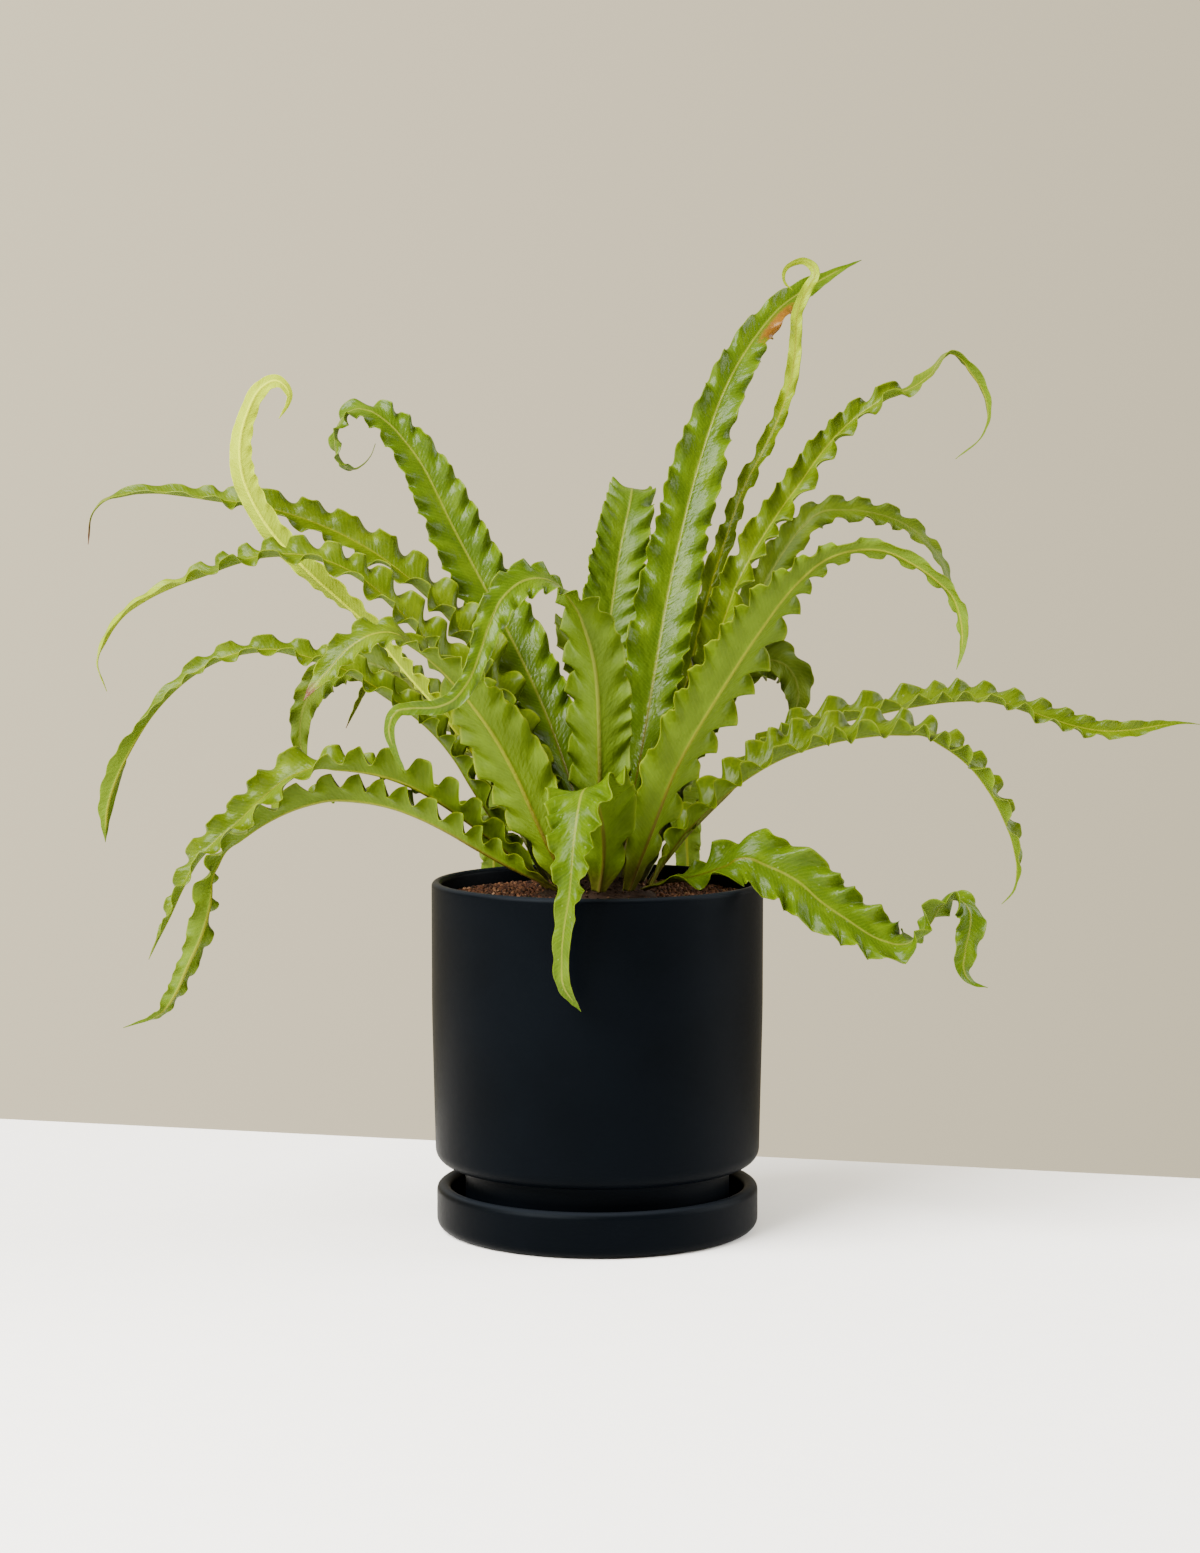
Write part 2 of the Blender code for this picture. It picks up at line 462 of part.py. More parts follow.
def frond(name, ring, bearing, width, outline, route, surface):
    """A frond: a long blade, folded a little along its midrib, thickest there and thin at its margins."""
    places = stations(*midrib_points(ring, bearing, route))
    spots = [place[0] for place in places]
    lengths = [0.0]
    for a, b in zip(spots, spots[1:]):
        lengths.append(lengths[-1] + (b - a).length)
    angle = math.radians(bearing)
    across = Vector((-math.sin(angle), math.cos(angle), 0.0))
    heading = (spots[1] - spots[0]).normalized()
    points = []
    for i, (spot, roll) in enumerate(places):
        ahead = spots[min(i + 1, len(spots) - 1)] - spots[max(i - 1, 0)]
        ahead.normalize()
        across = heading.rotation_difference(ahead) @ across
        across = (across - ahead * across.dot(ahead)).normalized()
        heading = ahead
        side = Quaternion(ahead, roll) @ across
        face = ahead.cross(side)
        share = lengths[i] / lengths[-1]
        narrow = STALK_WIDTH + (TIP_WIDTH - STALK_WIDTH) * share
        breadth = narrow + (width * MM - narrow) * between(outline, share)
        thick = MIDRIB_THICKNESS + (TIP_THICKNESS - MIDRIB_THICKNESS) * share
        lift = face * breadth / 2 * FOLD_RISE
        points += [
            spot + side * breadth / 2 + lift / 2,
            spot + face * thick / 2 - lift / 2,
            spot - side * breadth / 2 + lift / 2,
            spot - face * thick / 2 - lift / 2,
        ]
    # Both sides of the blade split along matching diagonals, so a twist never pushes one through the other.
    faces = [(3, 2, 1, 0)]
    for i in range(len(places) - 1):
        low, high = 4 * i, 4 * i + 4
        for margin in (0, 2):
            for middle in (1, 3):
                if (middle - margin) % 4 == 1:
                    faces.append((low + margin, low + middle, high + middle))
                    faces.append((low + margin, high + middle, high + margin))
                else:
                    faces.append((low + middle, low + margin, high + middle))
                    faces.append((low + margin, high + margin, high + middle))
    last = len(points) - 4
    faces.append((last, last + 1, last + 2, last + 3))
    return add_mesh(name, points, faces, surface)


def main():
    clear_scene()
    glaze = material("matte_black_glaze", (0.012, 0.014, 0.018), 0.45)
    mix = material("growing_mix", (0.11, 0.05, 0.03), 0.95)
    scales = material("crown_scales", (0.09, 0.06, 0.03), 0.9)
    green = material("frond_green", (0.26, 0.41, 0.02), 0.38)
    lime = material("frond_lime", (0.55, 0.62, 0.12), 0.42)
    dull = material("frond_dull", (0.13, 0.2, 0.02), 0.55)
    turned("saucer", saucer_profile(), glaze, closed=False)
    turned("pot", pot_profile(), glaze, closed=True)
    turned("growing_mix", soil_profile(), mix, closed=False)
    turned("crown", crown_profile(), scales, closed=False)
    for name, ring, bearing, width, outline, route in FRONDS:
        surface = lime if name in PALE_FRONDS else dull if name in DULL_FRONDS else green
        frond(name, ring, bearing, width, outline, route, surface)


main()
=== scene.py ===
"""The look of the potted crinkle-fronded fern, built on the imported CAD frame.

Each frond is rebuilt from its CAD blade. The midrib's line, the way the blade faces and its width are
read from the CAD mesh. Then the blade is resampled finely, its margins are ruffled, and a midrib is
added. The veins are in the material. The pot, saucer, growing mix and crown are remade finer, to the
CAD's sizes. Lengths are in millimetres until a mesh is written, except those of lights and the camera.
+Z is up and -Y is the side the plant is shown from.
"""

import itertools
import math

import bpy
import numpy as np
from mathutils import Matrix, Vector


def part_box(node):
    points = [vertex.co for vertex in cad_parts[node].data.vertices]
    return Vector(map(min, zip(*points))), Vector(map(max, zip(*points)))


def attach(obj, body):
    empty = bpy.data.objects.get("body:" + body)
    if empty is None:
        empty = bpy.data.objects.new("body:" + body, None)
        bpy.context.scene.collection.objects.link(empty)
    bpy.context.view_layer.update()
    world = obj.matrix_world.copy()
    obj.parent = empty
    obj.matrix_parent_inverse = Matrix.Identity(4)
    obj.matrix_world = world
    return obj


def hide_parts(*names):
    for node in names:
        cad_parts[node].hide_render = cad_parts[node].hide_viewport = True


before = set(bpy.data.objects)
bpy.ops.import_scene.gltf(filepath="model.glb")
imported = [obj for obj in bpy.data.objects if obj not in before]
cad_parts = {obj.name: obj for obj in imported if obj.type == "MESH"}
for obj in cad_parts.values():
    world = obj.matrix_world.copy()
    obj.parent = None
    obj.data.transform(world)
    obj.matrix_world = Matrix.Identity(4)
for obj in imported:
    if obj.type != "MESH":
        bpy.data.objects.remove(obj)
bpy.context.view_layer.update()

MM = 0.001
TAU = 2 * math.pi

# Pot and saucer sizes that the CAD boxes don't give directly.
POT_WALL = 4.5
POT_TAPER = 1.4
POT_TAPER_HEIGHT = 70
POT_LOWER_ROUND = 7
POT_FLOOR = 6
FOOT_RADIUS = 60
FOOT_HEIGHT = 23.7
FOOT_RING = 8
FOOT_RECESS = 2.5
DRAIN_RADIUS = 6
SAUCER_WALL = 6.5
SAUCER_FLOOR = 6
SAUCER_LOWER_ROUND = 5
SAUCER_INNER_ROUND = 3
ROUND_SEGMENTS = 192

WALL_UNEVENNESS = 0.05

# Growing mix and crown
FIT_GAP = 0.3
GRANULE_COUNT = 5200
GRANULE_SHAPES = 40
GRANULE_RADIUS = (0.55, 1.45)
MIX_SINK = 0.9
MIX_EDGE_WIDTH = 5
MIX_EDGE_DROP = 1.5
SCALE_COUNT = 420
SCALE_LENGTH = (2.0, 4.2)
SCALE_HALF_WIDTH = (0.5, 1.0)

# Fronds
STATION_STEP = 0.8
BLADE_THICKNESS = 0.62
MARGIN_THICKNESS = 0.3
RIB_HALF_WIDTH = 0.95
RIB_RISE_ABOVE = 0.42
RIB_RISE_BELOW = 0.95
VEIN_SPACING = 1.9
# Sample places from the midrib (0) to a margin (1). The first few shape the midrib's ridge.
ACROSS = np.array(
    [0, 0.03, 0.06, 0.1, 0.15, 0.22, 0.31, 0.41, 0.51, 0.61, 0.7, 0.78, 0.85, 0.91, 0.96, 1.0]
)

# Stage. The table's far edge runs at a slant, between these distances behind the origin.
TABLE_HALF_SIZE = 3000
TABLE_FAR_LEFT = 951
TABLE_FAR_RIGHT = -593
AIM = (0, 0, 0.2)


# ---------------------------------------------------------------- small tools


def smooth(x, low, high):
    """0 below low, 1 above high, and a smooth rise between."""
    t = np.clip((np.asarray(x, float) - low) / (high - low), 0, 1)
    return t * t * (3 - 2 * t)


def wander(places, spacing, seed):
    """Smooth noise from -1 to 1 along a line; spacing is the distance between its swings."""
    places = np.asarray(places, float) / spacing
    low = np.floor(places).astype(int)
    lattice = np.random.default_rng(seed).uniform(-1, 1, low.max() - low.min() + 3)
    low = low - low.min()
    t = places - np.floor(places)
    t = t * t * (3 - 2 * t)
    return lattice[low] * (1 - t) + lattice[low + 1] * t


def unit(vectors):
    return vectors / np.linalg.norm(vectors, axis=-1, keepdims=True)


def node_box(name):
    low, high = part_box(name)
    return np.array(low) * 1000, np.array(high) * 1000


def add_piece(name, points_mm, faces, material, replaced=None):
    """A piece of the object, from points in millimetres."""
    mesh = bpy.data.meshes.new(name)
    mesh.from_pydata((np.asarray(points_mm, float) * MM).tolist(), [], faces)
    mesh.materials.append(material)
    mesh.shade_smooth()
    obj = bpy.data.objects.new(name, mesh)
    bpy.context.scene.collection.objects.link(obj)
    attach(obj, "root")
    if replaced:
        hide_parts(replaced)
    return obj


def add_values(obj, name, values):
    """One number for each vertex, which the piece's material reads."""
    layer = obj.data.attributes.new(name, "FLOAT", "POINT")
    layer.data.foreach_set("value", np.ascontiguousarray(values, np.float32).ravel())


# ---------------------------------------------------------------- material tools


class Nodes:
    """A material's node tree, with short ways to add and join nodes."""

    def __init__(self, name):
        self.material = bpy.data.materials.new(name)
        self.material.use_nodes = True
        self.tree = self.material.node_tree
        self.shader = self.tree.nodes["Principled BSDF"]

    def put(self, target, value):
        if isinstance(value, bpy.types.NodeSocket):
            self.tree.links.new(value, target)
        elif isinstance(value, tuple) and len(value) == 3 and target.type == "RGBA":
            target.default_value = (*value, 1.0)
        else:
            target.default_value = value

    def set(self, **sockets):
        for name, value in sockets.items():
            self.put(self.shader.inputs[name.replace("_", " ")], value)

    def value(self, name):
        node = self.tree.nodes.new("ShaderNodeAttribute")
        node.attribute_name = name
        return node.outputs["Fac"]

    def place(self):
        return self.tree.nodes.new("ShaderNodeTexCoord").outputs["Object"]

    def math(self, kind, a, b=0.0, c=0.0):
        node = self.tree.nodes.new("ShaderNodeMath")
        node.operation = kind
        self.put(node.inputs[0], a)
        self.put(node.inputs[1], b)
        self.put(node.inputs[2], c)
        return node.outputs[0]

    def joined(self, x=0.0, y=0.0, z=0.0):
        node = self.tree.nodes.new("ShaderNodeCombineXYZ")
        for i, part in enumerate((x, y, z)):
            self.put(node.inputs[i], part)
        return node.outputs[0]

    def noise(self, vector, scale, detail=2.0, roughness=0.5):
        node = self.tree.nodes.new("ShaderNodeTexNoise")
        self.put(node.inputs["Vector"], vector)
        self.put(node.inputs["Scale"], scale)
        self.put(node.inputs["Detail"], detail)
        self.put(node.inputs["Roughness"], roughness)
        return node.outputs["Fac"]

    def cells(self, vector, scale, output="Distance"):
        node = self.tree.nodes.new("ShaderNodeTexVoronoi")
        self.put(node.inputs["Vector"], vector)
        self.put(node.inputs["Scale"], scale)
        return node.outputs[output]

    def step(self, x, low, high, start=0.0, end=1.0):
        """Smooth change from start to end as x goes from low to high."""
        node = self.tree.nodes.new("ShaderNodeMapRange")
        node.interpolation_type = "SMOOTHSTEP"
        for i, part in enumerate((x, low, high, start, end)):
            self.put(node.inputs[i], part)
        return node.outputs[0]

    def mix(self, share, a, b):
        """Colour a at share 0 and colour b at share 1."""
        node = self.tree.nodes.new("ShaderNodeMix")
        node.data_type = "RGBA"
        self.put(node.inputs["Factor"], share)
        for socket, colour in ((node.inputs[6], a), (node.inputs[7], b)):
            self.put(socket, colour)
        return node.outputs[2]

    def ramp(self, share, stops):
        node = self.tree.nodes.new("ShaderNodeValToRGB")
        self.put(node.inputs[0], share)
        while len(node.color_ramp.elements) < len(stops):
            node.color_ramp.elements.new(0.5)
        for element, (position, colour) in zip(node.color_ramp.elements, stops):
            element.position = position
            element.color = (*colour, 1.0)
        return node.outputs[0]

    def bump(self, height, distance, strength=1.0, normal=None):
        node = self.tree.nodes.new("ShaderNodeBump")
        self.put(node.inputs["Height"], height)
        self.put(node.inputs["Distance"], distance)
        self.put(node.inputs["Strength"], strength)
        if normal is not None:
            self.put(node.inputs["Normal"], normal)
        return node.outputs[0]


# ---------------------------------------------------------------- frond materials

# rib is the midrib near the tip and rib_foot the midrib near the foot.
LEAF_COLOURS = {
    "green": {
        "upper": (0.043, 0.071, 0.0003),
        "under": (0.062, 0.104, 0.0010),
        "margin": (0.096, 0.126, 0.0026),
        "rib": (0.122, 0.135, 0.0052),
        "rib_foot": (0.044, 0.021, 0.0026),
    },
    # The deep, mild and dull sets are darker copies of the green set: painted shade, for the fronds
    # given them.
    "shaded_deep": {
        "upper": (0.032, 0.062, 0.0003),
        "under": (0.056, 0.096, 0.0010),
        "margin": (0.078, 0.113, 0.0026),
        "rib": (0.096, 0.113, 0.010),
        "rib_foot": (0.035, 0.019, 0.0026),
    },
    "shaded_mild": {
        "upper": (0.038, 0.063, 0.0005),
        "under": (0.054, 0.070, 0.0017),
        "margin": (0.078, 0.100, 0.0035),
        "rib": (0.070, 0.087, 0.0070),
        "rib_foot": (0.030, 0.017, 0.0026),
    },
    "shaded_dull": {
        "upper": (0.028, 0.047, 0.0007),
        "under": (0.044, 0.057, 0.0017),
        "margin": (0.061, 0.080, 0.0035),
        "rib": (0.061, 0.074, 0.0070),
        "rib_foot": (0.026, 0.016, 0.0026),
    },
    "lime": {
        "upper": (0.24, 0.31, 0.001),
        "under": (0.23, 0.29, 0.001),
        "margin": (0.30, 0.36, 0.006),
        "rib": (0.32, 0.37, 0.008),
        "rib_foot": (0.08, 0.04, 0.006),
    },
}
BROWN_TIP = (0.06, 0.022, 0.008)
SCORCH = ((0.15, 0.07, 0.004), (0.05, 0.016, 0.004))
WATER_SPOT = (0.17, 0.20, 0.10)
FOOT_BROWN = (0.05, 0.035, 0.008)
YOUNG_GREEN = (0.10, 0.145, 0.002)
PALE_LIME = (0.17, 0.225, 0.0003)


def leaf_material(
    name,
    colours,
    gloss=0.3,
    sheen=0.085,
    spots=0.0,
    brown_from=None,
    brown_patch=None,
    rib_brown=0.35,
    green_until=None,
    lime_from=None,
):
    """A living leaf. Shares of the length run from 0 at the foot to 1 at the tip.

    gloss is the upper side's roughness, and sheen the strength of the leaf's reflections.
    spots is how many dried water marks it has.
    brown_from is the share of the length where the tip turns brown.
    brown_patch is the share where a scorched mark lies on the right margin.
    rib_brown is how far up the midrib its brown foot reaches.
    green_until is the share below which a young frond has already turned green.
    lime_from is the share above which a frond is pale.
    """
    shades = LEAF_COLOURS[colours]
    upper, under, margin = shades["upper"], shades["under"], shades["margin"]
    n = Nodes(name)
    across = n.value("leaf_across")
    along = n.value("leaf_along")
    share = n.value("leaf_share")
    top = n.value("leaf_top")
    rib_share = n.value("leaf_rib")
    # fold marks where the ruffles get painted shade.
    fold = n.value("leaf_fold_shade")
    out = n.math("ABSOLUTE", across)

    # Veins leave the midrib at a slant.
    flat = n.joined(across, along, 0.0)
    drift = n.noise(flat, 0.12, 2.0)
    slanted = n.math("MULTIPLY_ADD", out, -0.75, along)
    slanted = n.math("MULTIPLY_ADD", drift, 2.5, slanted)
    vein = n.math("SINE", n.math("MULTIPLY", slanted, TAU / VEIN_SPACING))
    vein = n.math("MULTIPLY_ADD", vein, 0.5, 0.5)

    # Broad and fine patches of lighter and darker green.
    broad = n.noise(n.joined(across, n.math("MULTIPLY", along, 0.45)), 0.11, 3.0)
    fine = n.noise(flat, 0.55, 3.0, 0.55)
    light = n.mix(0.5, tuple(min(1.35 * c, 1) for c in upper), margin)
    # dark serves both the darker patches of green and the painted shade on the ruffles.
    dark = tuple(0.62 * c for c in upper)
    upper_colour = n.mix(n.step(broad, 0.35, 0.68), dark, light)
    upper_colour = n.mix(n.step(broad, 0.3, 0.72, 0.75, 0.45), upper_colour, upper)
    under_dark = tuple(0.75 * c for c in under)
    under_colour = n.mix(n.step(broad, 0.3, 0.7), under_dark, under)
    colour = n.mix(top, under_colour, upper_colour)
    if green_until:
        turned_green = n.step(share, green_until - 0.12, green_until + 0.12, 0.8, 0.0)
        colour = n.mix(turned_green, colour, YOUNG_GREEN)
    if lime_from:
        pale = n.step(share, lime_from - 0.04, lime_from + 0.06, 0.0, 0.85)
        colour = n.mix(pale, colour, PALE_LIME)
    colour = n.mix(n.math("MULTIPLY", n.step(vein, 0.55, 0.95), 0.16), colour, margin)
    colour = n.mix(n.math("MULTIPLY", n.step(fine, 0.5, 0.75), 0.2), colour, dark)
    # Painted shade: the sides of the ruffles that lean away from the blade's face are darkened.
    colour = n.mix(n.math("MULTIPLY", n.step(fold, 0.1, 1.0), 0.35), colour, dark)

    # Thin margins let the light through and look paler.
    edge = n.value("leaf_edge")
    colour = n.mix(n.step(edge, 0.9, 1.0, 0.0, 0.75), colour, margin)

    # The midrib is pale, and brown towards the foot.
    foot = n.step(share, rib_brown * 0.35, rib_brown, 0.85, 0.0)
    rib_colour = n.mix(foot, shades["rib"], shades["rib_foot"])
    colour = n.mix(n.step(rib_share, 0.25, 0.8, 0.0, 0.85), colour, rib_colour)
    colour = n.mix(n.step(share, 0.02, 0.09, 0.6, 0.0), colour, FOOT_BROWN)

    if brown_from:
        ragged = n.math("MULTIPLY_ADD", fine, 0.06, share)
        colour = n.mix(n.step(ragged, brown_from + 0.02, brown_from + 0.06), colour, BROWN_TIP)
    if brown_patch:
        near = n.math("ABSOLUTE", n.math("SUBTRACT", share, brown_patch))
        near = n.step(n.math("MULTIPLY_ADD", fine, 0.05, near), 0.05, 0.075, 1.0, 0.0)
        side = n.step(n.math("MULTIPLY_ADD", fine, -3.0, across), -4.5, -2.0, 1.0, 0.0)
        mark = n.math("MULTIPLY", near, side)
        colour = n.mix(mark, colour, n.mix(fine, *SCORCH))

    roughness = n.step(top, 0.0, 1.0, 0.52, gloss)
    roughness = n.math("MULTIPLY_ADD", fine, 0.16, n.math("SUBTRACT", roughness, 0.06))
    if spots:
        cell = n.cells(flat, 0.62)
        chosen = n.noise(flat, 0.33, 1.0)
        spot = n.step(cell, 0.16, 0.3, 1.0, 0.0)
        here = n.step(chosen, 0.62 - 0.12 * spots, 0.7 - 0.12 * spots)
        spot = n.math("MULTIPLY", n.math("MULTIPLY", spot, here), top)
        colour = n.mix(n.math("MULTIPLY", spot, 0.28), colour, WATER_SPOT)
        roughness = n.math("MULTIPLY_ADD", spot, 0.25, roughness)

    pucker = n.noise(n.joined(across, n.math("MULTIPLY", slanted, 0.8)), 0.42, 2.0, 0.45)
    height = n.math("MULTIPLY_ADD", fine, 0.25, n.math("MULTIPLY", vein, 0.35))
    normal = n.bump(height, 0.00016, 0.4, n.bump(pucker, 0.001, 0.5))
    n.set(Base_Color=colour, Roughness=roughness, Normal=normal, Specular_IOR_Level=sheen)
    return n.material


# ---------------------------------------------------------------- frond shapes

DEFAULT_LOOK = {
    "colours": "green",
    # How steeply the margin stands at a fold, in degrees, and the length of one ruffle.
    "ruffle": 70,
    "wave": 13,
    # Share of the half blade that stays flat beside the midrib, and how late the ruffle grows outside.
    "flat": 0.08,
    "rise": 1.15,
    # How far a fold leans towards the tip as it runs outwards, and how far it topples along the frond.
    "slant": 0.8,
    "lean": 0.04,
    # Side that the broad folds face (1 upper, -1 under) at the foot and tip, and where it changes.
    "lobes": (1, 1, 0.5),
    # How far the broad folds bulge outwards.
    "bulge": 0.16,
    # Where along the frond the ruffles fade out, and what is left of them beyond it.
    "calm": (0.78, 1.0),
    "calm_ruffle": 0.35,
    # How much broader the spread-out blade is than its outline.
    "full": 1.2,
    # How far each half of the blade stands up from flat, in degrees.
    "fold": 17,
    # Small second ruffle on the margin, in degrees.
    "crimp": 9,
    # How stout the midrib is.
    "rib": 1.0,
    # Gentle twist along the blade, in degrees.
    "roll_wander": 14,
    # What leaf_material is given beside the colours.
    "leaf": {},
}

# Colour sets other than green and lime give a frond painted shade.
FROND_LOOKS = {
    "frond_tall": dict(
        colours="shaded_deep", ruffle=76, wave=19, flat=0.22, rise=1.35, slant=0.75, calm=(0.8, 0.95),
        full=1.15, rib=1.25, roll_wander=4, leaf=dict(gloss=0.26, sheen=0.1, brown_patch=0.83),
    ),
    "frond_tall_slim": dict(
        ruffle=74, wave=19, full=1.05, roll_wander=20,
        leaf=dict(gloss=0.28, sheen=0.06, lime_from=0.72),
    ),
    "frond_right_kinked": dict(
        ruffle=84, wave=15, calm=(0.74, 0.8), calm_ruffle=0.12, full=1.2, fold=38,
        roll_wander=22,
    ),
    "frond_centre_back": dict(
        colours="shaded_deep", ruffle=78, wave=11.5, flat=0.15, rise=1.2, calm=(1.1, 1.2), crimp=16,
        roll_wander=14, leaf=dict(gloss=0.4, sheen=0.11),
    ),
    "frond_centre_fold": dict(
        colours="shaded_deep", ruffle=70, wave=13, flat=0.2, rise=1.4, slant=0.8, lobes=(-1, 1, 0.42),
        calm=(0.78, 0.88), calm_ruffle=0.15, full=1.1, roll_wander=5,
        leaf=dict(gloss=0.28, sheen=0.1, rib_brown=0.3),
    ),
    "frond_left_curl": dict(
        colours="shaded_deep", ruffle=76, wave=14, flat=0.2, rise=1.3, calm=(1.1, 1.2), full=1.25,
        rib=1.2, roll_wander=5, leaf=dict(gloss=0.28, sheen=0.11),
    ),
    "frond_front_left_arch": dict(
        ruffle=70, wave=15, flat=0.2, rise=1.6, slant=0.8, lobes=(-1, 1, 0.55),
        calm=(0.86, 0.97), calm_ruffle=0.3, full=1.12, roll_wander=6,
        leaf=dict(spots=0.6, brown_from=0.955),
    ),
    "frond_right_broad": dict(
        ruffle=80, wave=16, flat=0.3, rise=1.4, slant=0.7, lobes=(-1, -1, 0.5),
        calm=(0.9, 1.0), full=1.15, crimp=12, roll_wander=4,
    ),
    "frond_front_hanging": dict(
        colours="shaded_deep", ruffle=82, wave=13, flat=0.12, rise=1.1, lobes=(-1, 1, 0.3),
        calm=(0.66, 0.8), calm_ruffle=0.12, full=1.25, roll_wander=6,
        leaf=dict(sheen=0.06, spots=0.3),
    ),
    "frond_left_arch": dict(
        ruffle=66, wave=14, slant=0.5, calm=(0.66, 0.78), calm_ruffle=0.15, full=1.35, fold=34,
        roll_wander=18,
    ),
    "frond_far_left_upper": dict(
        ruffle=64, wave=17, slant=0.5, calm=(0.7, 0.85), calm_ruffle=0.25, full=1.4, fold=30,
        leaf=dict(brown_from=0.96),
    ),
    "frond_far_left_lower": dict(
        ruffle=64, wave=16, slant=0.5, calm=(0.72, 0.85), calm_ruffle=0.15, full=1.35, fold=30,
        leaf=dict(lime_from=0.78),
    ),
    "frond_pale_new": dict(
        colours="lime", ruffle=60, wave=10, flat=0.25, calm=(0.35, 0.5), calm_ruffle=0.35,
        full=1.15, crimp=8, roll_wander=5, leaf=dict(sheen=0.04, green_until=0.72),
    ),
    "frond_low_left_front": dict(
        ruffle=62, wave=15, slant=0.45, lean=0.03, calm=(0.95, 1.05), calm_ruffle=0.3,
        full=1.35, fold=38, roll_wander=14, leaf=dict(spots=0.8),
    ),
    "frond_low_left_back": dict(
        ruffle=62, wave=14, slant=0.45, lean=0.03, calm=(0.95, 1.05), calm_ruffle=0.3,
        full=1.35, fold=38, roll_wander=14, leaf=dict(spots=0.9),
    ),
    "frond_right_arch": dict(
        ruffle=62, wave=14, slant=0.45, lean=0.03, calm=(0.8, 0.95), full=1.4, fold=36,
        roll_wander=16,
    ),
    "frond_far_right": dict(
        ruffle=68, wave=15, full=1.4, fold=32, roll_wander=16, leaf=dict(spots=0.3),
    ),
    "frond_low_right": dict(
        colours="shaded_deep", ruffle=76, wave=15, flat=0.15, rise=1.2, full=1.25,
        leaf=dict(gloss=0.27, sheen=0.08, spots=0.4),
    ),
    "frond_right_back": dict(
        colours="shaded_mild", ruffle=80, wave=14, flat=0.2, leaf=dict(gloss=0.5),
    ),
    "frond_right_hook": dict(
        colours="shaded_mild", ruffle=82, wave=14, flat=0.2, leaf=dict(gloss=0.5),
    ),
    "frond_back_left_hanging": dict(colours="shaded_mild", ruffle=76, wave=14, leaf=dict(gloss=0.5)),
    "frond_back_left_short": dict(
        colours="shaded_mild", ruffle=44, wave=12, leaf=dict(gloss=0.5, brown_from=0.975),
    ),
    "frond_back_shaded": dict(colours="shaded_dull", ruffle=72, wave=12, leaf=dict(gloss=0.45)),
    "frond_back_centre_right": dict(colours="shaded_dull", ruffle=74, wave=11, leaf=dict(gloss=0.45)),
}


def welded(node):
    """A CAD node's corner points in millimetres, each once, and each point's neighbours."""
    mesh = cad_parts[node].data
    raw = np.empty(len(mesh.vertices) * 3)
    mesh.vertices.foreach_get("co", raw)
    points, index = np.unique((raw.reshape(-1, 3) * 1000).round(3), axis=0, return_inverse=True)
    index = index.reshape(-1)
    near = [set() for _ in points]
    for a, b in mesh.edge_keys:
        near[index[a]].add(index[b])
        near[index[b]].add(index[a])
    for i, found in enumerate(near):
        found.discard(i)
    return points, near


def cad_sections(node, crown_top):
    """The frond's sections from foot to tip: left margin, right margin, upper and lower midrib."""
    points, near = welded(node)
    ring = set(np.argsort(np.linalg.norm(points - crown_top, axis=1))[:4])
    rings, seen = [], set()
    while ring:
        rings.append(points[sorted(ring)])
        seen |= ring
        ring = {j for i in ring for j in near[i]} - seen
    first = rings[0]

    def apart(pair):
        return np.linalg.norm(first[pair[0]] - first[pair[1]])

    a, b = max(itertools.combinations(range(4), 2), key=apart)
    c, d = sorted(set(range(4)) - {a, b})
    ahead = rings[1].mean(0) - first.mean(0)
    face = (first[a] + first[b] - first[c] - first[d]) / 2
    if np.dot(np.cross(ahead, first[a] - first[b]), face) < 0:
        a, b = b, a
    if np.dot(first[c] - first[d], face) < 0:
        c, d = d, c
    ordered = [first[[a, b, c, d]]]
    for found in rings[1:]:
        last = ordered[-1] - ordered[-1].mean(0)
        shifted = found - found.mean(0)
        orders = [list(order) for order in itertools.permutations(range(4))]
        misses = [((shifted[order] - last) ** 2).sum() for order in orders]
        ordered.append(found[orders[int(np.argmin(misses))]])
    return np.array(ordered)


def resampled(values, lengths, places):
    """Smooth curve through values at lengths, read at places."""
    slopes = np.gradient(values, lengths, axis=0)
    span = np.clip(np.searchsorted(lengths, places, side="right") - 1, 0, len(lengths) - 2)
    gap = (lengths[span + 1] - lengths[span])[:, None]
    t = (places[:, None] - lengths[span][:, None]) / gap
    a, b = values[span], values[span + 1]
    m, n = slopes[span] * gap, slopes[span + 1] * gap
    start = a * (2 * t**3 - 3 * t**2 + 1) + m * (t**3 - 2 * t**2 + t)
    return start + b * (3 * t**2 - 2 * t**3) + n * (t**3 - t**2)


def spine(node, crown_top, look, seed):
    """Fine stations along the frond.

    It gives each one's place, direction, side and face vectors, half width and distance from the foot.
    """
    sections = cad_sections(node, crown_top)
    centres = sections.mean(1)
    sides = sections[:, 0] - sections[:, 1]
    widths = np.linalg.norm(sides, axis=1)
    lengths = np.concatenate([[0], np.cumsum(np.linalg.norm(np.diff(centres, axis=0), axis=1))])
    places = np.linspace(0, lengths[-1], int(lengths[-1] / STATION_STEP) + 1)
    centre = resampled(centres, lengths, places)
    side = resampled(unit(sides), lengths, places)
    half = np.interp(places, lengths, widths) / 2
    kernel = np.hanning(9) / np.hanning(9).sum()
    half = np.convolve(np.pad(half, 4, mode="edge"), kernel, mode="valid")
    half[-6:] *= np.linspace(1, 0.25, 6)
    ahead = unit(np.gradient(centre, places, axis=0))
    side = unit(side - ahead * (side * ahead).sum(1, keepdims=True))
    face = np.cross(ahead, side)
    roll = np.radians(look["roll_wander"]) * wander(places, 38, seed)[:, None]
    roll *= smooth(places, 10, 50)[:, None]
    rolled_side = side * np.cos(roll) + face * np.sin(roll)
    rolled_face = face * np.cos(roll) - side * np.sin(roll)
    return centre, ahead, rolled_side, rolled_face, half, places


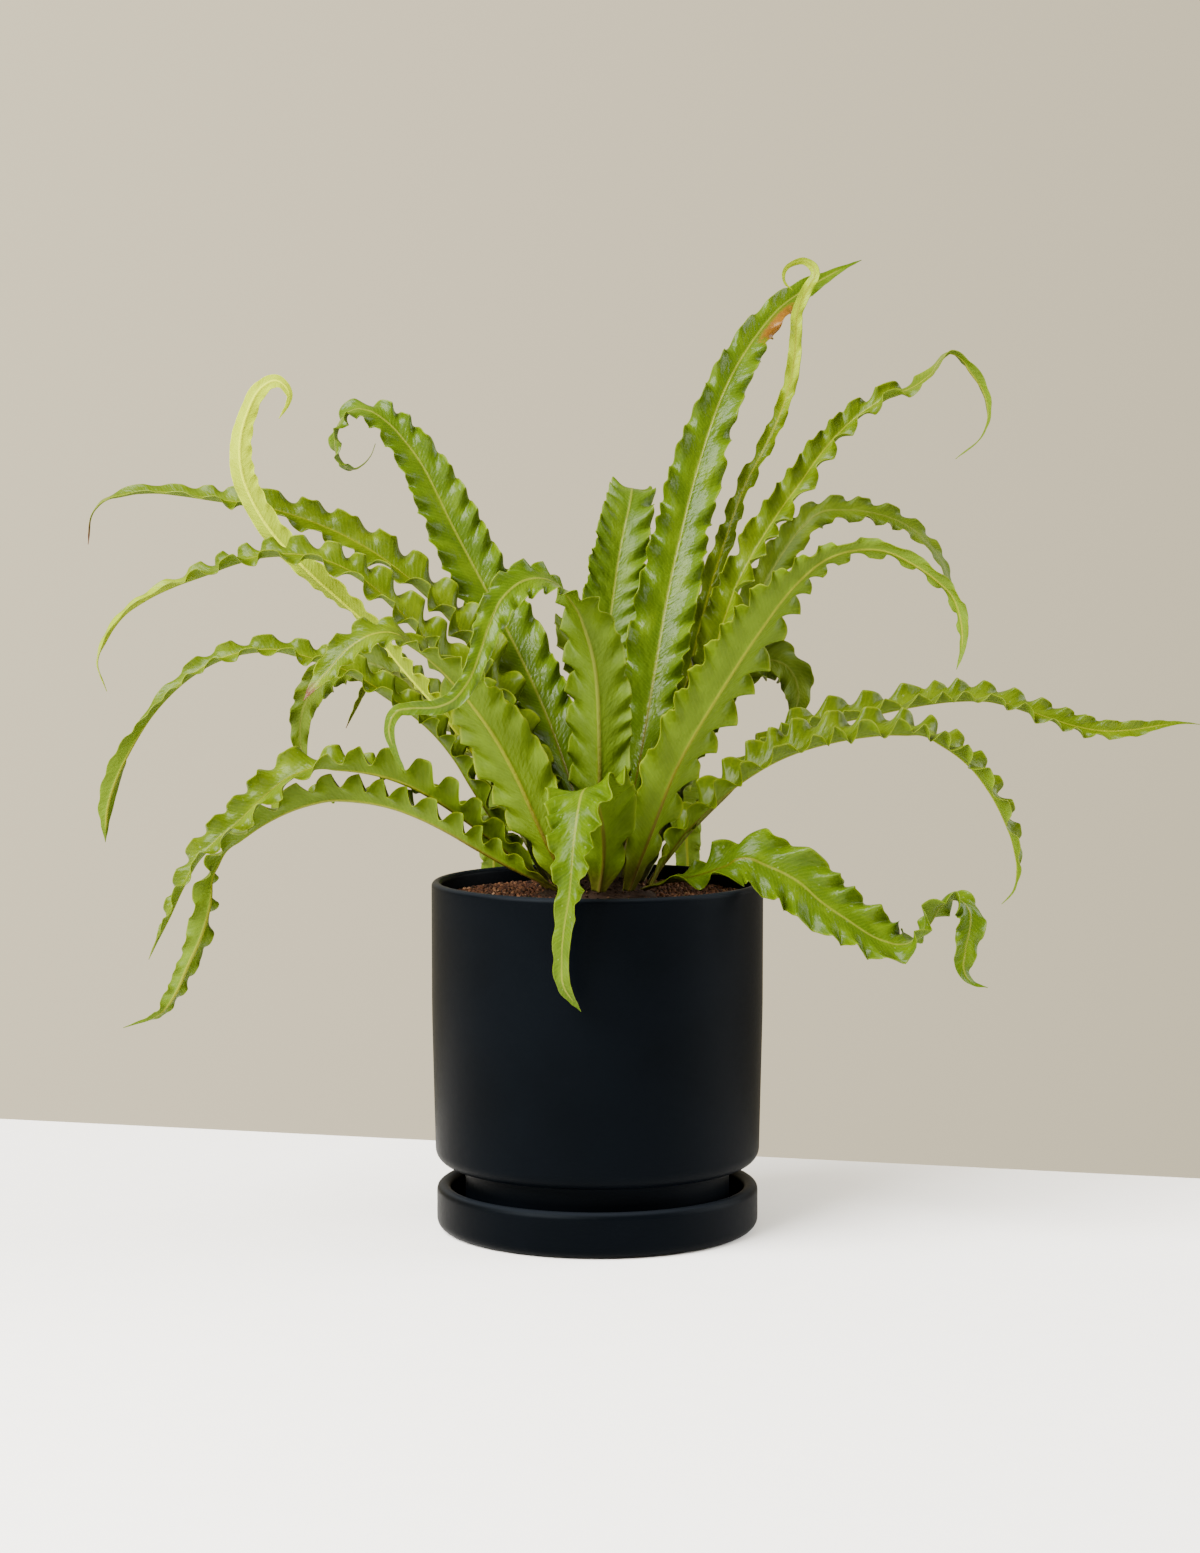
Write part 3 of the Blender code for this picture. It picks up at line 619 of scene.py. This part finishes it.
def half_blade(look, half, places, bend, seed):
    """One half of the blade, on a grid of stations by places across.

    It gives how far each point lies out from the midrib, up from it and forward along it. Then it gives
    the slope there, the ruffle's height from -1 to 1, and how far each station's half stands up.
    """
    share = places / places[-1]
    narrow = smooth(half, 0.5, 4.5)
    calm = 1 - (1 - look["calm_ruffle"]) * smooth(share, *look["calm"])
    start = smooth(places, 4, 30)
    alive = calm * start * narrow

    wave = look["wave"] * (0.48 + 0.52 * narrow) * (1 + 0.36 * wander(places, 21, seed + 1))
    count = np.concatenate([[0], np.cumsum(np.diff(places) / wave[1:])])
    count += np.random.default_rng(seed).uniform(0, 1)
    height = 1 + 0.42 * wander(count, 0.55, seed + 2)
    steep = np.radians(look["ruffle"]) * height * alive
    crimp = np.radians(look["crimp"]) * (1 + 0.8 * wander(places, 8, seed + 5)) * alive
    fold = math.radians(look["fold"]) * start * (1 - 0.85 * smooth(bend, 0.012, 0.05))

    u = ACROSS[None, :]
    breadth = (half * (1 + (look["full"] - 1) * alive))[:, None]
    phase = TAU * (count[:, None] - u * breadth * look["slant"] / wave[:, None])
    # The folds on the facing side are broad and bulge outwards. Those on the other side are narrow.
    first, last, turn_at = look["lobes"]
    facing = first + (last - first) * smooth(share, turn_at - 0.05, turn_at + 0.05)[:, None]
    skew = 1.2 * wander(places, 30, seed + 6)[:, None]
    swell = np.sin(phase + 0.12 * np.sin(phase + skew)) + 0.2 * facing * np.cos(2 * phase)
    reach = np.clip((u - look["flat"]) / (1 - look["flat"]), 0, 1) ** look["rise"]
    slope = fold[:, None] + steep[:, None] * reach * swell
    small = np.sin(phase * 2.7 + 2 * wander(places, 14, seed + 3)[:, None])
    slope = slope + crimp[:, None] * smooth(u, 0.62, 1.0) * small

    # The margin is a little uneven, with a blunt point here and there.
    tooth = np.abs(np.sin(phase * 0.5 + 0.8)) ** 5
    uneven = 0.03 * wander(places, 3, seed + 4) + 0.07 * wander(places, 9, seed + 7)
    nibble = 0.035 * tooth + uneven[:, None]
    bulge = 1 + look["bulge"] * facing * reach * swell
    stretch = breadth * (1 + u**5 * nibble * narrow[:, None]) * bulge
    stretch = (stretch[:, 1:] + stretch[:, :-1]) / 2
    gaps = np.diff(ACROSS)[None, :]
    middle = (slope[:, 1:] + slope[:, :-1]) / 2
    nothing = np.zeros((len(places), 1))
    # A fold's crest is fuller than the flat blade, so its margin draws in less than a flat one's would.
    draw_in = np.clip(np.cos(middle), 0.02, 1) ** 0.6
    out = np.concatenate([nothing, np.cumsum(draw_in * gaps * stretch, axis=1)], axis=1)
    up = np.concatenate([nothing, np.cumsum(np.sin(middle) * gaps * stretch, axis=1)], axis=1)
    # The folds lean over a little, as a margin too long for its frond does.
    lean = look["lean"] * (wave * alive)[:, None]
    forward = -lean * reach * np.sin(2 * phase) + 0.08 * breadth * u**1.5 * start[:, None]
    return out, up, forward, slope, swell * reach, fold


def build_frond(node, crown_top, index):
    """One frond: a closed blade with ruffled margins and a midrib that stands out on both sides."""
    look = DEFAULT_LOOK | FROND_LOOKS.get(node, {})
    seed = 1000 + 37 * index
    centre, ahead, side, face, half, places = spine(node, crown_top, look, seed)
    share = places / places[-1]
    bend = np.linalg.norm(np.gradient(ahead, places, axis=0), axis=1)
    bend = np.convolve(np.pad(bend, 6, mode="edge"), np.full(13, 1 / 13), mode="valid")
    stout = look["rib"] * (1 - 0.72 * share) * smooth(half, 0.2, 3)
    columns = []
    for sign, seed_shift in ((1, 5), (-1, 11)):
        out, up, forward, slope, swell, fold = half_blade(look, half, places, bend, seed + seed_shift)
        spread = (
            centre[:, None, :]
            + side[:, None, :] * (sign * out)[:, :, None]
            + face[:, None, :] * (up - (fold * half)[:, None] / 2)[:, :, None]
            + ahead[:, None, :] * forward[:, :, None]
        )
        tilt = side[:, None, :] * (sign * np.sin(slope))[:, :, None]
        normal = face[:, None, :] * np.cos(slope)[:, :, None] - tilt
        rib_width = RIB_HALF_WIDTH * (0.35 + 0.65 * stout)[:, None]
        rib = np.exp(-((out / rib_width) ** 2))
        thick = BLADE_THICKNESS + (MARGIN_THICKNESS - BLADE_THICKNESS) * ACROSS[None, :] ** 1.5
        thick = thick * (0.55 + 0.45 * smooth(half, 0.5, 4))[:, None]
        above = thick / 2 + rib * (RIB_RISE_ABOVE * stout)[:, None]
        below = thick / 2 + rib * (RIB_RISE_BELOW * stout)[:, None]
        columns.append(
            {
                "upper": spread + normal * above[:, :, None],
                "lower": spread - normal * below[:, :, None],
                "across": sign * out,
                "rib": rib * smooth(stout, 0.05, 0.3)[:, None],
                # The ruffles' lean, used for the painted shade on the ruffles.
                "fold": swell,
                "edge": np.broadcast_to(ACROSS[None, :], out.shape),
            }
        )
    left, right = columns

    def around(kind, flip_lower=False):
        """A value round the section: the upper side from left to right, then the lower side back."""
        key_up, key_low = ("upper", "lower") if kind == "point" else (kind, kind)
        top_row = [left[key_up][:, ::-1], right[key_up][:, 1:]]
        low_row = [right[key_low][:, ::-1], left[key_low][:, 1:]]
        if flip_lower:
            low_row = [-row for row in low_row]
        return np.concatenate(top_row + low_row, axis=1)

    points = around("point")
    stations, round_count = points.shape[:2]
    faces = []
    for i in range(stations - 1):
        low, high = i * round_count, (i + 1) * round_count
        for j in range(round_count):
            k = (j + 1) % round_count
            faces.append((low + j, low + k, high + k, high + j))
    faces.append(tuple(range(round_count))[::-1])
    last = (stations - 1) * round_count
    faces.append(tuple(last + j for j in range(round_count)))
    material = leaf_material(node + "_leaf", look["colours"], **look["leaf"])
    piece = add_piece("ruffled_" + node, points.reshape(-1, 3), faces, material, node)
    # The thin faces along each margin stay flat, so that both broad sides keep their own shading.
    rounded = np.ones((stations - 1, round_count), bool)
    rounded[:, [2 * len(ACROSS) - 2, round_count - 1]] = False
    piece.data.polygons.foreach_set("use_smooth", np.append(rounded.ravel(), [False, False]))
    grid = (stations, round_count)
    top = np.zeros(round_count)
    top[: 2 * len(ACROSS) - 1] = 1
    add_values(piece, "leaf_across", around("across"))
    add_values(piece, "leaf_along", np.broadcast_to(places[:, None], grid))
    add_values(piece, "leaf_share", np.broadcast_to(share[:, None], grid))
    add_values(piece, "leaf_top", np.broadcast_to(top[None, :], grid))
    add_values(piece, "leaf_rib", around("rib"))
    # The ruffles' lean, which the material uses to paint shade on their turned-away sides.
    add_values(piece, "leaf_fold_shade", -around("fold", flip_lower=True))
    add_values(piece, "leaf_edge", around("edge"))


# ---------------------------------------------------------------- pot and saucer


def arc(centre_r, centre_z, radius, start, end, steps=10):
    angles = np.radians(np.linspace(start, end, steps + 1))
    return [(centre_r + radius * math.cos(a), centre_z + radius * math.sin(a)) for a in angles]


def line(start, end, steps):
    return [tuple(np.add(start, np.subtract(end, start) * i / steps)) for i in range(1, steps)]


def turned(profile, closed, wobble=0.0, seed=0):
    """Points and faces of a turned piece; wobble is the unevenness of its wall in millimetres."""
    angles = np.linspace(0, TAU, ROUND_SEGMENTS, endpoint=False)
    orders = (2, 3, 5, 7)
    phases = np.random.default_rng(seed).uniform(0, TAU, len(orders))
    uneven = sum(np.sin(k * angles + phase) / k for k, phase in zip(orders, phases))
    points, rings = [], []
    for radius, height in profile:
        if radius < 1e-6:
            rings.append([len(points)] * ROUND_SEGMENTS)
            points.append((0.0, 0.0, height))
            continue
        spread = radius + wobble * (uneven - 1.2)
        rings.append(list(range(len(points), len(points) + ROUND_SEGMENTS)))
        level = np.full(ROUND_SEGMENTS, height)
        points += zip(spread * np.cos(angles), spread * np.sin(angles), level)
    faces = []
    pairs = zip(rings, rings[1:] + rings[:1]) if closed else zip(rings, rings[1:])
    for lower, upper in pairs:
        for i in range(ROUND_SEGMENTS):
            j = (i + 1) % ROUND_SEGMENTS
            corners = [lower[i], lower[j], upper[j], upper[i]]
            kept = [c for k, c in enumerate(corners) if c != corners[k - 1]]
            if len(kept) > 2:
                faces.append(kept)
    return points, faces


GLAZE = {
    "dark": (0.0004, 0.0007, 0.0012),
    "base": (0.0006, 0.0010, 0.0017),
    "mottle": (0.0020, 0.0026, 0.0036),
    "speck": (0.003, 0.0037, 0.0048),
    # lip is partly thinner glaze and partly a painted rim highlight.
    "lip": (0.006, 0.0075, 0.010),
}
GLAZE_REFLECTION = 0.022
GLAZE_REFLECTION_TINT = (0.75, 0.88, 1.0)


def ceramic_material(name, lip_height):
    """Matt near-black glaze with a blue cast, fine mottling and a slightly rippled skin.

    It is paler on the lip at lip_height, partly from a thinner glaze and partly as a painted highlight
    along the rim.
    """
    n = Nodes(name)
    place = n.place()
    broad = n.noise(place, 18, 3.0)
    fine = n.noise(place, 420, 4.0, 0.6)
    speck = n.cells(place, 900)
    colour = n.mix(n.step(broad, 0.35, 0.65), GLAZE["dark"], GLAZE["base"])
    mottled = n.math("MULTIPLY", n.step(fine, 0.6, 0.8), 0.3)
    colour = n.mix(mottled, colour, GLAZE["mottle"])
    specked = n.math("MULTIPLY", n.step(speck, 0.1, 0.18, 1.0, 0.0), 0.25)
    colour = n.mix(specked, colour, GLAZE["speck"])
    height = n.tree.nodes.new("ShaderNodeSeparateXYZ")
    n.put(height.inputs[0], place)
    # Paler lip: partly thinner glaze, partly a painted highlight along the rim.
    lip = n.step(height.outputs["Z"], (lip_height - 1.6) * MM, (lip_height - 0.3) * MM, 0.0, 0.8)
    colour = n.mix(lip, colour, GLAZE["lip"])
    roughness = n.math("MULTIPLY_ADD", broad, 0.12, n.math("MULTIPLY_ADD", fine, 0.1, 0.33))
    ripple = n.bump(broad, 0.0006, 0.35)
    normal = n.bump(fine, 0.00006, 0.5, ripple)
    n.set(
        Base_Color=colour,
        Roughness=roughness,
        Normal=normal,
        Specular_IOR_Level=GLAZE_REFLECTION,
        Specular_Tint=GLAZE_REFLECTION_TINT,
    )
    return n.material


def build_saucer(material):
    _, high = node_box("saucer")
    radius, height = high[0], high[2]
    lip = SAUCER_WALL / 2
    inner = radius - SAUCER_WALL
    floor_round_top = SAUCER_FLOOR + SAUCER_INNER_ROUND
    profile = (
        [(0.0, 0.0), (20.0, 0.0), (45.0, 0.0)]
        + arc(radius - SAUCER_LOWER_ROUND, SAUCER_LOWER_ROUND, SAUCER_LOWER_ROUND, -90, 0)
        + line((radius, SAUCER_LOWER_ROUND), (radius, height - lip), 6)
        + arc(radius - lip, height - lip, lip, 0, 180, 22)
        + line((inner, height - lip), (inner, floor_round_top), 5)
        + arc(inner - SAUCER_INNER_ROUND, floor_round_top, SAUCER_INNER_ROUND, 0, -90)
        + [(45.0, SAUCER_FLOOR), (20.0, SAUCER_FLOOR), (0.0, SAUCER_FLOOR)]
    )
    points, faces = turned(profile, closed=False, wobble=WALL_UNEVENNESS, seed=3)
    add_piece("glazed_saucer", points, faces, material, "saucer")


def build_pot(material):
    low, high = node_box("pot")
    radius, bottom, rim = high[0], low[2], high[2]
    body = bottom + FOOT_HEIGHT
    lip = POT_WALL / 2
    lower = radius - POT_TAPER
    inner = radius - POT_WALL
    shelf = body + POT_WALL
    foot_inner = FOOT_RADIUS - POT_WALL
    floor = bottom + POT_FLOOR
    outside = (
        [(DRAIN_RADIUS, bottom + FOOT_RECESS), (FOOT_RADIUS - FOOT_RING, bottom + FOOT_RECESS)]
        + [(FOOT_RADIUS - FOOT_RING, bottom), (FOOT_RADIUS - 1.2, bottom)]
        + arc(FOOT_RADIUS - 1.2, bottom + 1.2, 1.2, -60, 0, 4)
        + line((FOOT_RADIUS, bottom + 1.2), (FOOT_RADIUS, body - 1.5), 8)
        + arc(FOOT_RADIUS + 1.5, body - 1.5, 1.5, 180, 90, 5)
        + arc(lower - POT_LOWER_ROUND, body + POT_LOWER_ROUND, POT_LOWER_ROUND, -90, 0, 14)
        + line((lower, body + POT_LOWER_ROUND), (radius, body + POT_TAPER_HEIGHT), 12)
        + line((radius, body + POT_TAPER_HEIGHT), (radius, rim - lip), 12)
        + arc(radius - lip, rim - lip, lip, 0, 180, 22)
    )
    inside = (
        line((inner, rim - lip), (inner, shelf + 4), 12)
        + [(inner - 1.2, shelf + 1.2), (inner - 4, shelf), (foot_inner, shelf)]
        + [(foot_inner, floor + 4), (foot_inner - 1.2, floor + 1.2), (foot_inner - 4, floor)]
        + [(DRAIN_RADIUS, floor)]
    )
    points, faces = turned(outside + inside, closed=True, wobble=WALL_UNEVENNESS, seed=8)
    add_piece("glazed_pot", points, faces, material, "pot")


# ---------------------------------------------------------------- growing mix and crown


BARK_SHADES = (
    (0.0, (0.009, 0.004, 0.002)),
    (0.35, (0.030, 0.011, 0.005)),
    (0.65, (0.066, 0.025, 0.010)),
    (0.88, (0.11, 0.048, 0.020)),
    (1.0, (0.18, 0.10, 0.055)),
)
BARK_DUST = (0.03, 0.014, 0.009)
CROWN_SHADES = (
    (0.0, (0.005, 0.0025, 0.0013)),
    (0.6, (0.022, 0.010, 0.0045)),
    (1.0, (0.055, 0.028, 0.012)),
)
CROWN_DUST = (0.012, 0.006, 0.003)


def mix_material(name):
    """Red-brown bark granules, each of its own shade, dusty and rough."""
    n = Nodes(name)
    place = n.place()
    shade = n.value("grain_shade")
    fine = n.noise(place, 1400, 4.0, 0.65)
    colour = n.ramp(shade, BARK_SHADES)
    colour = n.mix(n.step(fine, 0.4, 0.75, 0.0, 0.5), colour, BARK_DUST)
    normal = n.bump(fine, 0.0003, 0.8)
    n.set(Base_Color=colour, Roughness=0.9, Normal=normal, Specular_IOR_Level=0.15)
    return n.material


def granule_shapes(rng, count):
    """Unit lumps, each an icosahedron pushed out of round, and the faces that they share."""
    phi = (1 + 5**0.5) / 2
    corners = [(-1, phi, 0), (1, phi, 0), (-1, -phi, 0), (1, -phi, 0), (0, -1, phi), (0, 1, phi)]
    corners += [(0, -1, -phi), (0, 1, -phi), (phi, 0, -1), (phi, 0, 1), (-phi, 0, -1), (-phi, 0, 1)]
    faces = [(0, 11, 5), (0, 5, 1), (0, 1, 7), (0, 7, 10), (0, 10, 11), (1, 5, 9), (5, 11, 4)]
    faces += [(11, 10, 2), (10, 7, 6), (7, 1, 8), (3, 9, 4), (3, 4, 2), (3, 2, 6), (3, 6, 8)]
    faces += [(3, 8, 9), (4, 9, 5), (2, 4, 11), (6, 2, 10), (8, 6, 7), (9, 8, 1)]
    base = unit(np.array(corners, float))
    shapes = []
    for _ in range(count):
        shapes.append(base * rng.uniform(0.72, 1.25, (12, 1)) * rng.uniform(0.7, 1.25, 3))
    return shapes, np.array(faces)


def build_mix_body(material, rng):
    """The mix as one body, to its CAD shape, with a socket for the crown."""
    low, high = node_box("growing_mix")
    crown_low, crown_high = node_box("crown")
    pot_low, _ = node_box("pot")
    outer = high[0]
    surface = high[2] - MIX_SINK
    shoulder = (outer, surface - MIX_EDGE_DROP)
    socket = crown_high[0] + FIT_GAP
    socket_floor = crown_low[2] - FIT_GAP
    inner_foot = FOOT_RADIUS - POT_WALL - FIT_GAP
    shelf = pot_low[2] + FOOT_HEIGHT + POT_WALL + FIT_GAP
    profile = (
        [(0.0, low[2]), (inner_foot - 4, low[2])]
        + [(inner_foot - 1.2, low[2] + 1.2), (inner_foot, low[2] + 4)]
        + [(inner_foot, shelf), (outer - 4, shelf), (outer - 1.2, shelf + 1.2), (outer, shelf + 4)]
        + line((outer, shelf + 4), shoulder, 12)
        + [shoulder]
        + line(shoulder, (outer - MIX_EDGE_WIDTH, surface), 5)
        + line((outer - MIX_EDGE_WIDTH, surface), (socket, surface), 26)
        + [(socket, surface), (socket, socket_floor), (0.0, socket_floor)]
    )
    points, faces = turned(profile, closed=False)
    body = add_piece("mix_body", points, faces, material, "growing_mix")
    add_values(body, "grain_shade", rng.uniform(0.0, 0.45, len(points)))


def build_granules(material, rng):
    """Loose granules all over the top of the mix."""
    _, high = node_box("growing_mix")
    _, crown_high = node_box("crown")
    outer = high[0]
    surface = high[2] - MIX_SINK
    socket = crown_high[0] + FIT_GAP
    shapes, shape_faces = granule_shapes(rng, GRANULE_SHAPES)
    points, faces, shades = [], [], []
    for _ in range(GRANULE_COUNT):
        radius = math.sqrt(rng.uniform((socket - 3) ** 2, (outer - 1.2) ** 2))
        angle = rng.uniform(0, TAU)
        size = rng.uniform(*GRANULE_RADIUS) * (1 if rng.uniform() < 0.93 else 1.35)
        fall = MIX_EDGE_DROP * smooth(radius, outer - MIX_EDGE_WIDTH, outer)
        height = surface - fall + size * rng.uniform(0.0, 0.45)
        radius = min(radius, outer - size)
        turn = rng.uniform(0, TAU)
        across, along = math.cos(turn), math.sin(turn)
        spin = np.array([[across, -along, 0], [along, across, 0], [0, 0, 1]])
        shape = shapes[rng.integers(len(shapes))] @ spin.T * size
        faces.append(shape_faces + len(shape) * len(points))
        points.append(shape + (radius * math.cos(angle), radius * math.sin(angle), height))
        shades.append(np.full(len(shape), np.clip(rng.normal(0.5, 0.24), 0, 1)))
    points = np.concatenate(points)
    faces = np.concatenate(faces).tolist()
    granules = add_piece("mix_granules", points, faces, material)
    add_values(granules, "grain_shade", np.concatenate(shades))
    subdivide = granules.modifiers.new("round", "SUBSURF")
    subdivide.levels = subdivide.render_levels = 1


def crown_material(name):
    """Dark brown, dry and fibrous."""
    n = Nodes(name)
    place = n.place()
    shade = n.value("grain_shade")
    fine = n.noise(place, 1600, 4.0, 0.6)
    colour = n.ramp(shade, CROWN_SHADES)
    colour = n.mix(n.step(fine, 0.45, 0.75, 0.0, 0.5), colour, CROWN_DUST)
    normal = n.bump(fine, 0.0002, 0.7)
    n.set(Base_Color=colour, Roughness=0.85, Normal=normal, Specular_IOR_Level=0.1)
    return n.material


def build_crown(material):
    """The crown: a low dome covered by narrow brown scales that lean outwards."""
    low, high = node_box("crown")
    radius, bottom, top = high[0], low[2], high[2]
    _, mix_high = node_box("growing_mix")
    rise = top - mix_high[2]
    dome = []
    for inward in np.arange(15) / 14:
        dome.append((radius * (1 - inward), mix_high[2] - 0.8 + (rise - 0.4) * (1 - (1 - inward) ** 2)))
    points, faces = turned([(0.0, bottom), (radius - 3, bottom)] + dome, closed=False)
    points = [tuple(p) for p in points]
    rng = np.random.default_rng(17)
    shades = [0.2] * len(points)
    for _ in range(SCALE_COUNT):
        spread = radius * math.sqrt(rng.uniform(0.01, 0.9))
        angle = rng.uniform(0, TAU)
        outward = np.array([math.cos(angle), math.sin(angle), 0.0])
        across = np.array([-math.sin(angle), math.cos(angle), 0.0])
        foot = outward * spread + (0, 0, mix_high[2] - 1.2 + rise * (1 - (spread / radius) ** 2))
        long = rng.uniform(*SCALE_LENGTH)
        tip = foot + outward * long * rng.uniform(0.5, 0.9)
        tip[2] = min(tip[2] + long * rng.uniform(0.05, 0.45), top - 0.1)
        wide = rng.uniform(*SCALE_HALF_WIDTH)
        ridge = foot + (0, 0, 0.5) + outward
        i = len(points)
        points += [tuple(foot + across * wide), tuple(foot - across * wide), tuple(ridge), tuple(tip)]
        faces += [[i, i + 1, i + 2], [i, i + 2, i + 3], [i + 1, i + 3, i + 2], [i, i + 3, i + 1]]
        shades += [float(np.clip(rng.normal(0.6, 0.25), 0, 1))] * 4
    piece = add_piece("scaly_crown", points, faces, material, "crown")
    add_values(piece, "grain_shade", shades)


# ---------------------------------------------------------------- stage, light and camera


def build_table():
    """A pale table top whose far edge runs at a slant behind the pot."""
    n = Nodes("table_top")
    fine = n.noise(n.place(), 60, 3.0)
    colour = n.mix(fine, (0.80, 0.79, 0.775), (0.83, 0.82, 0.81))
    n.set(Base_Color=colour, Roughness=0.75, Specular_IOR_Level=0.2)
    size = TABLE_HALF_SIZE
    points = [(-size, TABLE_FAR_LEFT, 0), (-size, -size, 0)]
    points += [(size, -size, 0), (size, TABLE_FAR_RIGHT, 0)]
    mesh = bpy.data.meshes.new("table_top")
    mesh.from_pydata([tuple(c * MM for c in p) for p in points], [], [(0, 1, 2, 3)])
    mesh.materials.append(n.material)
    obj = bpy.data.objects.new("table_top", mesh)
    bpy.context.scene.collection.objects.link(obj)


def build_world():
    """A warm grey studio, brighter on the left and a little brighter above."""
    world = bpy.data.worlds.new("studio")
    bpy.context.scene.world = world
    world.use_nodes = True
    tree = world.node_tree
    direction = tree.nodes.new("ShaderNodeTexCoord").outputs["Generated"]
    parts = tree.nodes.new("ShaderNodeSeparateXYZ")
    tree.links.new(direction, parts.inputs[0])
    shade = tree.nodes.new("ShaderNodeMapRange")
    tree.links.new(parts.outputs["X"], shade.inputs[0])
    shade.inputs["From Min"].default_value = -0.4
    shade.inputs["From Max"].default_value = 0.4
    shade.inputs["To Min"].default_value = 1.36
    shade.inputs["To Max"].default_value = 0.75
    rising = tree.nodes.new("ShaderNodeMath")
    rising.operation = "MULTIPLY_ADD"
    tree.links.new(parts.outputs["Z"], rising.inputs[0])
    rising.inputs[1].default_value = 0.18
    tree.links.new(shade.outputs[0], rising.inputs[2])
    background = tree.nodes["Background"]
    background.inputs["Color"].default_value = (1.0, 0.87, 0.61, 1)
    tree.links.new(rising.outputs[0], background.inputs["Strength"])


def add_softbox(name, place, size, power, colour):
    """A square soft light, size metres wide, aimed at the plant."""
    data = bpy.data.lights.new(name, "AREA")
    data.shape = "RECTANGLE"
    data.size = data.size_y = size
    data.energy = power
    data.color = colour
    obj = bpy.data.objects.new(name, data)
    bpy.context.scene.collection.objects.link(obj)
    obj.location = place
    obj.rotation_euler = (Vector(AIM) - Vector(place)).to_track_quat("-Z", "Y").to_euler()


def build_lights():
    add_softbox("key_left", (-1.35, -1.15, 1.65), 1.8, 352, (1.0, 0.99, 0.97))
    add_softbox("fill_right", (1.5, 0.1, 0.7), 1.3, 58, (0.97, 0.98, 1.0))


def build_camera():
    """Level with the fronds, looking slightly down."""
    data = bpy.data.cameras.new("view")
    data.lens = 75
    data.sensor_width = 36
    obj = bpy.data.objects.new("view", data)
    bpy.context.scene.collection.objects.link(obj)
    obj.location = (0.0012, -1.455, 0.320)
    obj.rotation_euler = (math.radians(90 - 4.52), 0, 0)
    bpy.context.scene.camera = obj


def main():
    _, saucer_high = node_box("saucer")
    _, pot_high = node_box("pot")
    _, crown_high = node_box("crown")
    build_saucer(ceramic_material("saucer_glaze", saucer_high[2]))
    build_pot(ceramic_material("pot_glaze", pot_high[2]))
    bark = mix_material("bark_granules")
    mix_rng = np.random.default_rng(5)
    build_mix_body(bark, mix_rng)
    build_granules(bark, mix_rng)
    build_crown(crown_material("crown_fibre"))
    crown_top = np.array([0, 0, crown_high[2]])
    fronds = sorted(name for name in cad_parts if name.startswith("frond_"))
    for index, node in enumerate(fronds):
        build_frond(node, crown_top, index)
    build_table()
    build_world()
    build_lights()
    build_camera()


main()
